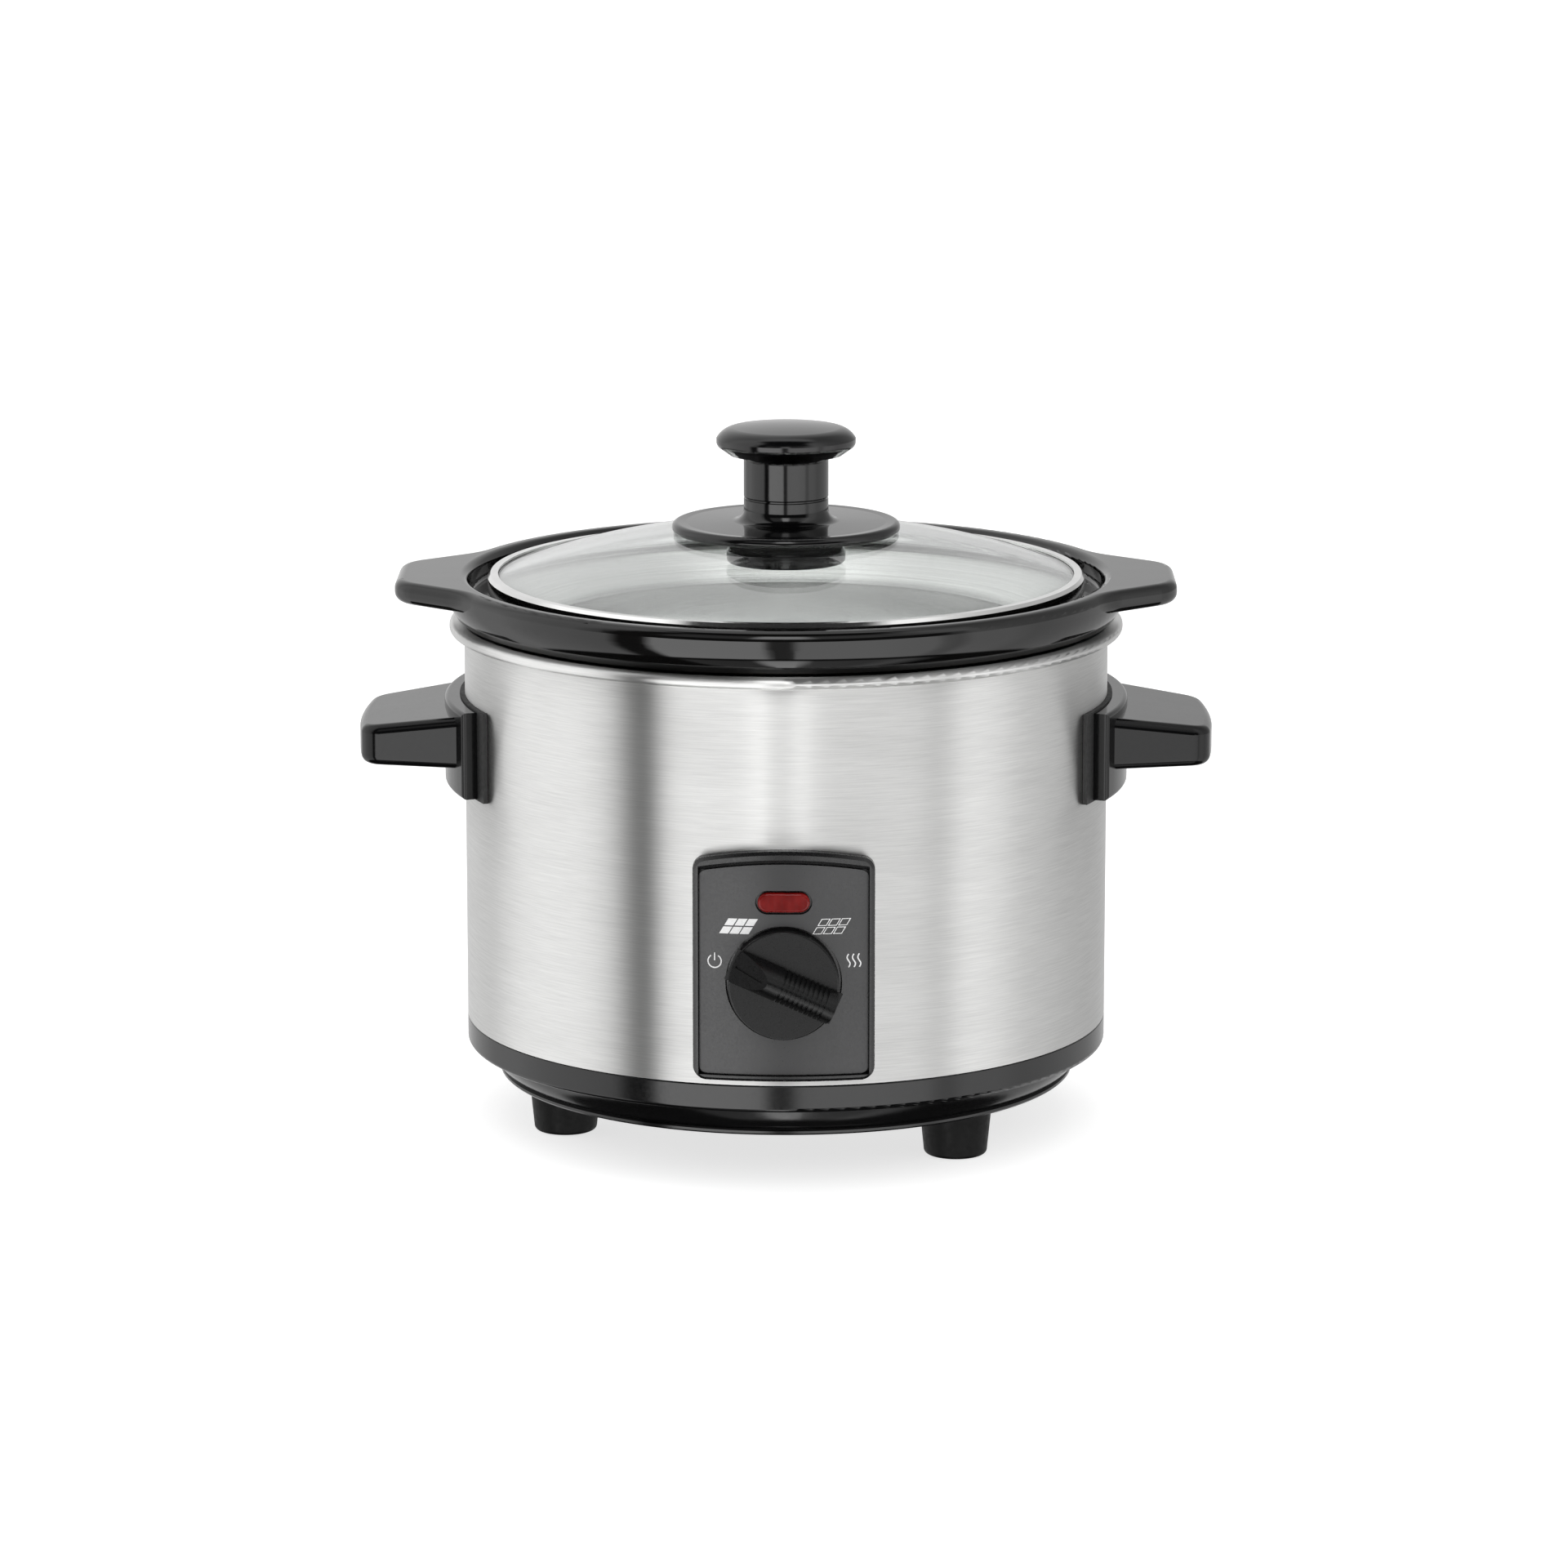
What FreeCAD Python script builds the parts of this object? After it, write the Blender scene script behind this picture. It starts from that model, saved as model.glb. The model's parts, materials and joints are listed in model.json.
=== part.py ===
import FreeCAD, Part
import math
import os

import Sketcher

# Slow cooker: a steel-jacketed heater base with a lift-out stoneware crock, a shallow steel
# insert dish, a domed glass lid and a rotary control. Millimetres, +Z up, the control panel
# faces -Y, the side handles lie along X, and the origin is on the axis at the floor.

os.makedirs("parts", exist_ok=True)
doc = FreeCAD.newDocument("slow_cooker")
V = FreeCAD.Vector

# ---------------------------------------------------------------------------- sizes

SIZES = {
    # outer shell
    "shell_r": 93.5,
    "sheet_thick": 0.6,
    "shell_bottom": 31.9,
    "bead_r": 97.8,
    "bead_bottom": 145.6,
    "bead_top": 148.7,
    # base pan
    "base_seam": 31.7,
    "base_band_bottom": 23.9,
    "base_underside": 15.0,
    "base_tier_r": 87.9,
    "base_lip_r": 84.0,
    "base_floor_top": 17.6,
    "base_upstand_r": 92.7,
    "base_upstand_top": 38.7,
    # feet
    "foot_circle_r": 67.2,
    "foot_top_r": 10.5,
    "foot_bottom_r": 9.0,
    # heating well and heater
    "well_r": 84.7,
    "well_thick": 0.8,
    "well_floor": 66.7,
    "well_corner": 24.3,
    "heater_low": 93.0,
    "heater_high": 117.0,
    # crock
    "rim_r": 98.2,
    "rim_top": 161.9,
    "rim_inner_r": 92.0,
    "rim_lower_r": 95.2,
    "rim_lower": 150.0,
    "rim_rest": 149.0,
    "ledge": 155.5,
    "crock_r": 83.4,
    "crock_wall": 5.6,
    "crock_bottom": 68.2,
    "ear_reach": 113.0,
    "ear_thick": 6.5,
    # insert dish
    "dish_flange_r": 86.5,
    "dish_floor_r": 67.0,
    "dish_floor": 146.9,
    "dish_flange": 155.8,
    "dish_thick": 0.8,
    # lid
    "lid_band_r": 86.6,
    "lid_band_low": 156.9,
    "dome_r": 250.0,
    "dome_centre": -74.16,
    "glass_thick": 3.2,
    "glass_edge_r": 85.6,
    "flange_r": 33.1,
    "flange_top": 177.0,
    "stem_r": 12.3,
    "stem_seam": 184.0,
    "knob_r": 20.2,
    "knob_low": 196.2,
    "knob_top": 205.2,
    "boss_r": 17.2,
    "boss_low": 163.7,
    # control panel and control knob
    "panel_half_width": 25.45,
    "panel_low": 33.9,
    "panel_high": 99.8,
    "panel_arch": 2.85,
    "panel_r": 97.3,
    "face_r": 96.2,
    "dial_z": 62.1,
    "dial_r": 15.5,
    "dial_front": 99.8,
    "grip_height": 7.6,
    "grip_half_width": 4.7,
    "shaft_r": 3.0,
    "lens_z": 85.2,
    # side handles
    "handle_low": 101.6,
    "handle_high": 126.9,
    "handle_pad_r": 95.0,
    "handle_face_r": 99.4,
    "wing_tip": 121.9,
    # cord gland
    "gland_z": 52.0,
    "gland_bore_r": 3.6,
    "gland_end": 105.0,
}

sheet = doc.addObject("Spreadsheet::Sheet", "Sizes")
for row, (alias, value) in enumerate(SIZES.items(), start=1):
    sheet.set(f"A{row}", alias)
    sheet.set(f"B{row}", str(value))
    sheet.setAlias(f"B{row}", alias)
doc.recompute()


class Size:
    """A length that carries its value and the sheet expression it comes from."""

    def __init__(self, value, text):
        self.value = float(value)
        self.text = text

    def __add__(self, other):
        other = as_size(other)
        return Size(self.value + other.value, f"({self.text} + {other.text})")

    def __sub__(self, other):
        other = as_size(other)
        return Size(self.value - other.value, f"({self.text} - {other.text})")

    def __mul__(self, factor):
        return Size(self.value * factor, f"({self.text} * {factor})")

    def __neg__(self):
        return Size(-self.value, f"(-1 * {self.text})")


def as_size(value):
    """Plain numbers become sizes with no link to the sheet."""
    if isinstance(value, Size):
        return value
    return Size(value, f"({round(float(value), 6)})")


class Dims:
    """Sheet sizes by name."""

    def __getattr__(self, name):
        return Size(sheet.get(name), f"Sizes.{name}")


dim = Dims()

# ---------------------------------------------------------------------------- helpers

NODES = {}


def keep(label, item):
    """Names an object and lists it for export."""
    item.Label = label
    NODES[label] = item
    return item


def plane(body, role):
    for feature in body.Origin.OriginFeatures:
        if feature.Role == role:
            return feature
    raise ValueError(role)


def new_body(label):
    return keep(label, doc.addObject("PartDesign::Body", label))


class Corner:
    """One corner of an outline. arc is the radius of the side that leaves it, and turn is +1
    when that side runs counter-clockwise."""

    def __init__(self, x, y, arc=None, turn=1):
        self.x = as_size(x)
        self.y = as_size(y)
        self.arc = None if arc is None else as_size(arc)
        self.turn = turn


def as_corner(item):
    return item if isinstance(item, Corner) else Corner(*item)


def arc_between(start, end, radius, turn):
    """The arc of a circle from start to end, and whether its own direction is start to end."""
    middle = (start + end) * 0.5
    chord = end - start
    half = chord.Length / 2.0
    rise = math.sqrt(max(radius * radius - half * half, 0.0))
    side = V(-chord.y, chord.x, 0).normalize()
    centre = middle + side * (rise * turn)
    first, last = (start, end) if turn > 0 else (end, start)
    low = math.atan2(first.y - centre.y, first.x - centre.x)
    high = math.atan2(last.y - centre.y, last.x - centre.x)
    if high < low:
        high += 2 * math.pi
    return Part.ArcOfCircle(Part.Circle(centre, V(0, 0, 1), radius), low, high)


def bind(sketch, index, size):
    if "Sizes." in size.text:
        sketch.setExpression(f"Constraints[{index}]", size.text)


def pin_point(sketch, curve, end, x, y):
    """Ties a point of the sketch to the sheet."""
    if abs(x.value) < 1e-9:
        sketch.addConstraint(Sketcher.Constraint("PointOnObject", curve, end, -2))
    else:
        bind(sketch, sketch.addConstraint(
            Sketcher.Constraint("DistanceX", -1, 1, curve, end, x.value)), x)
    if abs(y.value) < 1e-9:
        sketch.addConstraint(Sketcher.Constraint("PointOnObject", curve, end, -1))
    else:
        bind(sketch, sketch.addConstraint(
            Sketcher.Constraint("DistanceY", -1, 1, curve, end, y.value)), y)


def draw_loop(sketch, outline):
    """A closed outline through the corners, every corner and radius tied down."""
    corners = [as_corner(item) for item in outline]
    sides = []
    for here, there in zip(corners, corners[1:] + corners[:1]):
        start = V(here.x.value, here.y.value, 0)
        end = V(there.x.value, there.y.value, 0)
        if here.arc is None:
            sides.append((sketch.addGeometry(Part.LineSegment(start, end)), 1, 2))
        else:
            curve = arc_between(start, end, here.arc.value, here.turn)
            ends = (1, 2) if here.turn > 0 else (2, 1)
            sides.append((sketch.addGeometry(curve),) + ends)
    for side, following in zip(sides, sides[1:] + sides[:1]):
        sketch.addConstraint(Sketcher.Constraint(
            "Coincident", side[0], side[2], following[0], following[1]))
    for corner, side in zip(corners, sides):
        pin_point(sketch, side[0], side[1], corner.x, corner.y)
        if corner.arc is not None:
            bind(sketch, sketch.addConstraint(
                Sketcher.Constraint("Radius", side[0], corner.arc.value)), corner.arc)


def draw_circle(sketch, x, y, radius):
    x, y, radius = as_size(x), as_size(y), as_size(radius)
    circle = Part.Circle(V(x.value, y.value, 0), V(0, 0, 1), radius.value)
    curve = sketch.addGeometry(circle)
    bind(sketch, sketch.addConstraint(
        Sketcher.Constraint("Radius", curve, radius.value)), radius)
    if abs(x.value) < 1e-9 and abs(y.value) < 1e-9:
        sketch.addConstraint(Sketcher.Constraint("Coincident", curve, 3, -1, 1))
    else:
        pin_point(sketch, curve, 3, x, y)


def box_outline(x_low, x_high, y_low, y_high):
    return [(x_low, y_low), (x_high, y_low), (x_high, y_high), (x_low, y_high)]


# a round end's arc is this much over a half circle's radius, clear of the least that spans it
ROUND_END = 1.0000001


def obround(x, y, length, height):
    """A slot outline with round ends, centred on x, y."""
    radius = height / 2.0
    reach = length / 2.0 - radius
    x, y = as_size(x), as_size(y)
    return [
        Corner(x - reach, y - radius),
        Corner(x + reach, y - radius, arc=radius * ROUND_END),
        Corner(x + reach, y + radius),
        Corner(x - reach, y + radius, arc=radius * ROUND_END),
    ]


def new_sketch(body, role, loops=(), circles=(), offset=None):
    """A sketch on one of the body's own origin planes, moved along its normal by offset."""
    sketch = body.newObject("Sketcher::SketchObject", f"{body.Name}_sketch")
    sketch.AttachmentSupport = [(plane(body, role), "")]
    sketch.MapMode = "FlatFace"
    if offset is not None:
        offset = as_size(offset)
        sketch.AttachmentOffset = FreeCAD.Placement(V(0, 0, offset.value), FreeCAD.Rotation())
        if "Sizes." in offset.text:
            sketch.setExpression("AttachmentOffset.Base.z", offset.text)
    for loop in loops:
        draw_loop(sketch, loop)
    for x, y, radius in circles:
        draw_circle(sketch, x, y, radius)
    sketch.Visibility = False
    return sketch


def turned(body, outline, angle=360.0, cut=False, middle=False):
    """Turns an outline in the X-Z plane about the Z axis, adding to the body or cutting it."""
    sketch = new_sketch(body, "XZ_Plane", [outline])
    kind = "PartDesign::Groove" if cut else "PartDesign::Revolution"
    feature = body.newObject(kind, f"{body.Name}_turn")
    feature.Profile = sketch
    feature.ReferenceAxis = (sketch, ["V_Axis"])
    feature.Angle = angle
    feature.Midplane = middle
    doc.recompute()
    return feature


def extruded(body, role, length, loops=(), circles=(), offset=None, cut=False,
             both=False, reverse=False, through=False):
    """Pads or pockets a sketch drawn on an origin plane."""
    sketch = new_sketch(body, role, loops, circles, offset)
    kind = "PartDesign::Pocket" if cut else "PartDesign::Pad"
    feature = body.newObject(kind, f"{body.Name}_{'cut' if cut else 'pad'}")
    feature.Profile = sketch
    if through:
        feature.Type = "ThroughAll"
    else:
        length = as_size(length)
        feature.Length = length.value
        if "Sizes." in length.text:
            feature.setExpression("Length", length.text)
    if both:
        feature.SideType = "Symmetric"
    feature.Reversed = reverse
    doc.recompute()
    return feature


def circle_of(edge):
    """The circle an edge runs along, or None."""
    try:
        curve = edge.Curve
    except TypeError:
        return None
    return curve if isinstance(curve, Part.Circle) else None


def circle_edges(shape, radius, height):
    """Names of the level circular edges with this radius at this height."""
    names = []
    for number, edge in enumerate(shape.Edges, start=1):
        curve = circle_of(edge)
        if curve is None:
            continue
        if abs(curve.Radius - radius) < 0.02 and abs(curve.Center.z - height) < 0.02:
            names.append(f"Edge{number}")
    return names


def edges_where(shape, test):
    """Names of the edges whose mid-point and shape pass a test."""
    names = []
    for number, edge in enumerate(shape.Edges, start=1):
        middle = edge.valueAt((edge.FirstParameter + edge.LastParameter) / 2.0)
        if test(edge, middle):
            names.append(f"Edge{number}")
    return names


def dress(body, kind, names, size):
    """Adds a fillet or chamfer to the named edges of the body as it stands."""
    if not names:
        raise ValueError(f"{body.Label}: no edges to dress")
    feature = body.newObject(f"PartDesign::{kind}", f"{body.Name}_{kind.lower()}")
    feature.Base = (body.Tip if body.Tip != feature else feature.BaseFeature, names)
    if kind == "Fillet":
        feature.Radius = size
    else:
        feature.Size = size
    doc.recompute()
    if not feature.Shape.isValid() or "Invalid" in feature.State:
        raise ValueError(f"{body.Label}: {kind} of {size} failed")
    return feature


def round_circles(body, circles):
    """Rounds level circular edges, given as (radius, height, fillet radius)."""
    groups = {}
    for radius, height, fillet in circles:
        groups.setdefault(fillet, []).append((as_size(radius).value, as_size(height).value))
    for fillet, places in groups.items():
        names = []
        for radius, height in places:
            found = circle_edges(body.Tip.Shape, radius, height)
            if not found:
                raise ValueError(f"{body.Label}: no edge at r {radius} z {height}")
            names += found
        dress(body, "Fillet", names, fillet)


def turned_body(label, outline, rounds=(), angle=360.0, middle=False):
    body = new_body(label)
    turned(body, outline, angle=angle, middle=middle)
    if rounds:
        round_circles(body, rounds)
    return body


def group(label, source, places):
    """One node that holds a copy of a solid at every placement."""
    links = []
    for place in places:
        link = doc.addObject("App::Link", f"{label}_copy")
        link.LinkedObject = source
        link.LinkTransform = True
        link.Placement = place
        links.append(link)
    compound = doc.addObject("Part::Compound", label)
    compound.Links = links
    doc.recompute()
    return keep(label, compound)


def mirrored(label, source):
    """The same solid on the other side of the Y-Z plane."""
    mirror = doc.addObject("Part::Mirroring", label)
    mirror.Source = source
    mirror.Normal = V(1, 0, 0)
    doc.recompute()
    return keep(label, mirror)


def place_at(x, y, z, axis=None, angle=0.0):
    rotation = FreeCAD.Rotation(axis, angle) if axis else FreeCAD.Rotation()
    return FreeCAD.Placement(V(x, y, z), rotation)


UP = V(0, 0, 1)
ALONG_X = V(1, 0, 0)
ALONG_Y = V(0, 1, 0)


def fastener_body(name, shank_r, shank_length, head_r, head_height, slot=True):
    """A pan-head screw along +Z: the head sits on z = 0 and the shank points up."""
    body = doc.addObject("PartDesign::Body", name)
    body.Label = name
    turned(body, [
        (0, -head_height),
        (head_r, -head_height),
        (head_r, 0),
        (shank_r, 0),
        (shank_r, shank_length - shank_r * 0.6),
        (shank_r * 0.4, shank_length),
        (0, shank_length),
    ])
    dress(body, "Fillet", circle_edges(body.Tip.Shape, head_r, -head_height), head_height * 0.4)
    if slot:
        width, reach, depth = head_r * 0.28, head_r * 0.62, head_height * 0.5
        for loop in (box_outline(-width / 2, width / 2, -reach, reach),
                     box_outline(-reach, reach, -width / 2, width / 2)):
            extruded(body, "XY_Plane", depth, [loop], offset=-head_height, cut=True,
                     reverse=True)
    return body


def disc_body(name, inner, outer, thick):
    """A flat ring, or a solid disc when inner is 0, standing on z = 0."""
    body = doc.addObject("PartDesign::Body", name)
    body.Label = name
    turned(body, [(inner, 0), (outer, 0), (outer, thick), (inner, thick)])
    return body


def hex_outline(half_flats):
    corner = half_flats / math.cos(math.radians(30))
    return [(corner * math.cos(math.radians(60 * n)), corner * math.sin(math.radians(60 * n)))
            for n in range(6)]


# ---------------------------------------------------------------------------- outer shell

HANDLE_SCREW_Z = (112.3, 120.0)
PANEL_SCREWS = [(-19.0, 45.0), (19.0, 45.0), (-19.0, 91.0), (19.0, 91.0)]
FEET = {"foot_right": 47.0, "foot_rear": 167.0, "foot_left": 287.0}

inner_r = dim.shell_r - dim.sheet_thick
shell = turned_body("outer_shell", [
    (inner_r, dim.shell_bottom),
    (dim.shell_r, dim.shell_bottom),
    (dim.shell_r, dim.bead_bottom),
    (dim.bead_r, dim.bead_bottom),
    (dim.bead_r, dim.bead_top),
    (dim.shell_r + 0.5, dim.bead_top),
    (dim.shell_r + 0.5, dim.bead_top - dim.sheet_thick),
    (dim.bead_r - dim.sheet_thick, dim.bead_top - dim.sheet_thick),
    (dim.bead_r - dim.sheet_thick, dim.bead_bottom + dim.sheet_thick),
    (inner_r, dim.bead_bottom + dim.sheet_thick),
], rounds=[
    (dim.bead_r, dim.bead_bottom, 1.3),
    (dim.bead_r, dim.bead_top, 1.3),
    (dim.bead_r - dim.sheet_thick, dim.bead_top - dim.sheet_thick, 0.7),
    (dim.bead_r - dim.sheet_thick, dim.bead_bottom + dim.sheet_thick, 0.7),
    (dim.shell_r, dim.bead_bottom, 0.7),
])
# shaft, lamp and panel screws at the front
extruded(shell, "XZ_Plane", 0, [obround(0, dim.lens_z, 13.4, 5.6)],
         [(0, dim.dial_z, 5.0)] + [(x, z, 1.8) for x, z in PANEL_SCREWS],
         offset=40.0, cut=True, reverse=True, through=True)
# cord gland at the back
extruded(shell, "XZ_Plane", 0, (), [(0, dim.gland_z, 7.0)], offset=-40.0, cut=True, through=True)
# handle screws on both sides
extruded(shell, "YZ_Plane", 0, (), [(0, z, 2.0) for z in HANDLE_SCREW_Z], cut=True,
         both=True, through=True)

# ---------------------------------------------------------------------------- base pan

base = turned_body("base_pan", [
    (2.7, dim.base_underside),
    (dim.base_lip_r - 0.5, dim.base_underside),
    (dim.base_lip_r, dim.base_underside + 0.5),
    (dim.base_lip_r, dim.base_underside + 1.2),
    Corner(dim.base_lip_r - 0.7, dim.base_underside + 1.6, arc=13.0),
    (dim.base_tier_r, dim.base_band_bottom - 0.4),
    (dim.base_tier_r, dim.base_band_bottom),
    (dim.shell_r, dim.base_band_bottom),
    (dim.shell_r, dim.base_seam),
    (dim.base_upstand_r, dim.base_seam),
    (dim.base_upstand_r, dim.base_upstand_top),
    (dim.base_upstand_r - 2.0, dim.base_upstand_top),
    (dim.base_upstand_r - 2.0, dim.base_band_bottom + 2.4),
    (dim.base_tier_r - 2.0, dim.base_band_bottom + 2.4),
    (dim.base_tier_r - 3.4, dim.base_underside + 6.0),
    (dim.base_lip_r - 3.0, dim.base_floor_top),
    (6.2, dim.base_floor_top),
    (6.2, 50.4),
    (2.7, 50.4),
], rounds=[
    (dim.shell_r, dim.base_band_bottom, 1.4),
    (dim.shell_r, dim.base_seam, 0.3),
])


def on_foot_circle(angle):
    turn = math.radians(angle)
    radius = SIZES["foot_circle_r"]
    return radius * math.sin(turn), -radius * math.cos(turn)


foot_centres = [on_foot_circle(angle) for angle in FEET.values()]
extruded(base, "XY_Plane", 9.6, (), [(x, y, 5.4) for x, y in foot_centres],
         offset=dim.base_floor_top - 0.2)
extruded(base, "XY_Plane", 0, (), [(x, y, 1.9) for x, y in foot_centres], cut=True,
         both=True, through=True)
# cooling slots in the floor
vent = extruded(base, "XY_Plane", 0, [obround(40.0, 0, 22.0, 2.8)], cut=True,
                both=True, through=True)
vents = base.newObject("PartDesign::PolarPattern", "base_vents")
vents.Originals = [vent]
vents.Axis = (base.Origin.OriginFeatures[2], [""])
vents.Angle = 360.0
vents.Occurrences = 9
base.Tip = vents
doc.recompute()

# ---------------------------------------------------------------------------- feet

for name, (x, y) in zip(FEET, foot_centres):
    foot = turned_body(name, [
        (2.1, 8.0),
        (4.4, 8.0),
        (4.4, 0),
        (dim.foot_bottom_r, 0),
        (dim.foot_top_r, dim.base_underside),
        (2.1, dim.base_underside),
    ], rounds=[(dim.foot_bottom_r, 0, 1.5)])
    foot.Placement = place_at(x, y, 0)
foot_screw = fastener_body("foot_screw", 1.9, 17.5, 3.6, 2.4)
group("foot_screws", foot_screw, [place_at(x, y, 8.0) for x, y in foot_centres])

# ---------------------------------------------------------------------------- heating well

well_out_r = dim.well_r + dim.well_thick
corner_z = dim.well_floor + dim.well_corner
well = turned_body("heating_well", [
    (0, dim.well_floor - dim.well_thick),
    Corner(dim.well_r - dim.well_corner, dim.well_floor - dim.well_thick,
           arc=dim.well_corner + dim.well_thick),
    (well_out_r, corner_z),
    (well_out_r, dim.bead_top - 2.2),
    (dim.bead_r - 1.4, dim.bead_top - 2.2),
    (dim.bead_r - 1.4, dim.bead_top - 1.4),
    (dim.well_r, dim.bead_top - 1.4),
    Corner(dim.well_r, corner_z, arc=dim.well_corner, turn=-1),
    (dim.well_r - dim.well_corner, dim.well_floor),
    (0, dim.well_floor),
])

heater = turned_body("band_heater", [
    (well_out_r + 0.05, dim.heater_low),
    (well_out_r + 1.4, dim.heater_low),
    (well_out_r + 1.4, dim.heater_high),
    (well_out_r + 0.05, dim.heater_high),
], angle=346.0, middle=True)
heater.Placement = place_at(0, 0, 0, UP, -90.0)

CLAMP_Y = 88.9
clamp = new_body("band_clamp_brackets")
clamp.AllowCompound = True
extruded(clamp, "XY_Plane", 12.0, [
    box_outline(-12.0, -11.0, 87.0, 91.0),
    box_outline(11.0, 12.0, 87.0, 91.0),
], offset=99.0)
clamp_screw = fastener_body("clamp_screw_source", 1.5, 27.0, 2.6, 1.8)
group("band_clamp_screw", clamp_screw, [place_at(-12.05, CLAMP_Y, 105.0, ALONG_Y, 90.0)])
for hole_x in (-11.5, 11.5):
    extruded(clamp, "YZ_Plane", 4.0, (), [(CLAMP_Y, 105.0, 1.55)], offset=hole_x, cut=True,
             both=True)

sleeve = turned_body("insulation_sleeve", [
    (well_out_r + 1.8, 92.0),
    (well_out_r + 3.8, 92.0),
    (well_out_r + 3.8, 142.0),
    (well_out_r + 1.8, 142.0),
], angle=338.0, middle=True)
sleeve.Placement = place_at(0, 0, 0, UP, -90.0)

turned_body("heat_shield", [
    (2.8, 50.5),
    (74.0, 50.5),
    (76.0, 48.5),
    (76.4, 49.0),
    (74.3, 51.1),
    (2.8, 51.1),
])
turned_body("shield_spacer", [
    (2.7, 51.15),
    (5.0, 51.15),
    (5.0, dim.well_floor - dim.well_thick - 0.95),
    (2.7, dim.well_floor - dim.well_thick - 0.95),
])
turned_body("centre_stud", [
    (0, 9.6),
    (2.1, 9.6),
    (2.5, 10.0),
    (2.5, dim.well_floor - dim.well_thick),
    (0, dim.well_floor - dim.well_thick),
])
turned_body("centre_washer", [(2.6, 14.0), (7.0, 14.0), (7.0, 15.0), (2.6, 15.0)])
nut = new_body("centre_nut")
extruded(nut, "XY_Plane", 3.7, [hex_outline(4.0)], [(0, 0, 2.5)], offset=10.3)

# ---------------------------------------------------------------------------- crock

def rim_outline():
    """Plan of the rim: a circle with an ear on each side, joined to it by hollow fillets."""
    rim, tip = SIZES["rim_r"], SIZES["ear_reach"]
    corner_r, hollow_r, half_tip, lean = 14.0, 25.0, 11.0, math.radians(50.0)
    outward = V(math.cos(lean), math.sin(lean), 0)
    along = V(-math.sin(lean), math.cos(lean), 0)
    flank = V(tip - corner_r, half_tip, 0) + outward * corner_r
    # the hollow fillet's centre is hollow_r off the flank and rim + hollow_r from the axis
    start = flank + outward * hollow_r
    reach = rim + hollow_r
    half = start.dot(along)
    slide = -half - math.sqrt(half * half - start.dot(start) + reach * reach)
    centre = start + along * slide
    leave = centre - outward * hollow_r
    meet = centre * (rim / reach)
    ear = [
        (meet.x, -meet.y, hollow_r, -1),
        (leave.x, -leave.y, None, 1),
        (flank.x, -flank.y, corner_r, 1),
        (tip, -half_tip, None, 1),
        (tip, half_tip, corner_r, 1),
        (flank.x, flank.y, None, 1),
        (leave.x, leave.y, hollow_r, -1),
        (meet.x, meet.y, rim, 1),
    ]
    return [Corner(way * x, way * y, arc, turn) for way in (1, -1) for x, y, arc, turn in ear]


crock = new_body("crock")
extruded(crock, "XY_Plane", dim.ear_thick, [rim_outline()], offset=dim.rim_top - dim.ear_thick)


def level_edges(shape, height):
    return edges_where(shape, lambda edge, middle: abs(edge.BoundBox.ZMax - height) < 0.01
                       and abs(edge.BoundBox.ZMin - height) < 0.01)


ear_top = SIZES["rim_top"]
ear_low = ear_top - SIZES["ear_thick"]
dress(crock, "Fillet", level_edges(crock.Tip.Shape, ear_low), 2.8)
dress(crock, "Fillet", level_edges(crock.Tip.Shape, ear_top), 2.6)
wall_low_r = dim.crock_r - 1.2
# the rim's wall leans out from its lower edge along an arc that ends upright
CROWN_R = 10.0
crown_run = SIZES["rim_r"] - SIZES["rim_lower_r"]
crown_rise = math.sqrt(CROWN_R * CROWN_R - (CROWN_R - crown_run) ** 2)
turned(crock, [
    (0, dim.crock_bottom + 1.0),
    (50.0, dim.crock_bottom + 1.0),
    (52.0, dim.crock_bottom),
    Corner(wall_low_r - 24.0, dim.crock_bottom, arc=24.0),
    (wall_low_r, dim.crock_bottom + 24.0),
    (dim.crock_r, dim.rim_rest),
    (dim.rim_lower_r - 1.6, dim.rim_rest),
    Corner(dim.rim_lower_r, dim.rim_lower, arc=CROWN_R),
    (dim.rim_r, dim.rim_lower + crown_rise),
    (dim.rim_r, dim.rim_top - 2.8),
    (0, dim.rim_top - 2.8),
])
cavity_r = dim.crock_r - dim.crock_wall
turned(crock, [
    (0, dim.crock_bottom + 6.6),
    Corner(cavity_r - 20.0, dim.crock_bottom + 6.6, arc=20.0),
    (cavity_r, dim.crock_bottom + 26.6),
    (cavity_r, dim.ledge - 9.5),
    (84.0, dim.ledge),
    (dim.rim_inner_r, dim.ledge),
    (dim.rim_inner_r, dim.rim_top + 2.0),
    (0, dim.rim_top + 2.0),
], cut=True)
round_circles(crock, [
    (dim.rim_inner_r, dim.rim_top, 2.4),
    (dim.rim_inner_r, dim.ledge, 1.5),
    (84.0, dim.ledge, 1.0),
])

# ---------------------------------------------------------------------------- insert dish

turned_body("insert_dish", [
    (0, dim.dish_floor),
    (dim.dish_floor_r, dim.dish_floor),
    (83.2, dim.dish_flange),
    (dim.dish_flange_r, dim.dish_flange),
    (dim.dish_flange_r, dim.dish_flange + dim.dish_thick),
    (82.6, dim.dish_flange + dim.dish_thick),
    (dim.dish_floor_r - 0.6, dim.dish_floor + dim.dish_thick),
    (0, dim.dish_floor + dim.dish_thick),
], rounds=[
    (dim.dish_floor_r, dim.dish_floor, 2.0),
    (dim.dish_floor_r - 0.6, dim.dish_floor + dim.dish_thick, 1.2),
])

# ---------------------------------------------------------------------------- lid


def dome_height(radius, drop=0.0):
    """Height of the glass's top face, or of a face drop below it, at a radius."""
    ball = SIZES["dome_r"] - drop
    return SIZES["dome_centre"] + math.sqrt(ball * ball - radius * radius)


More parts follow.
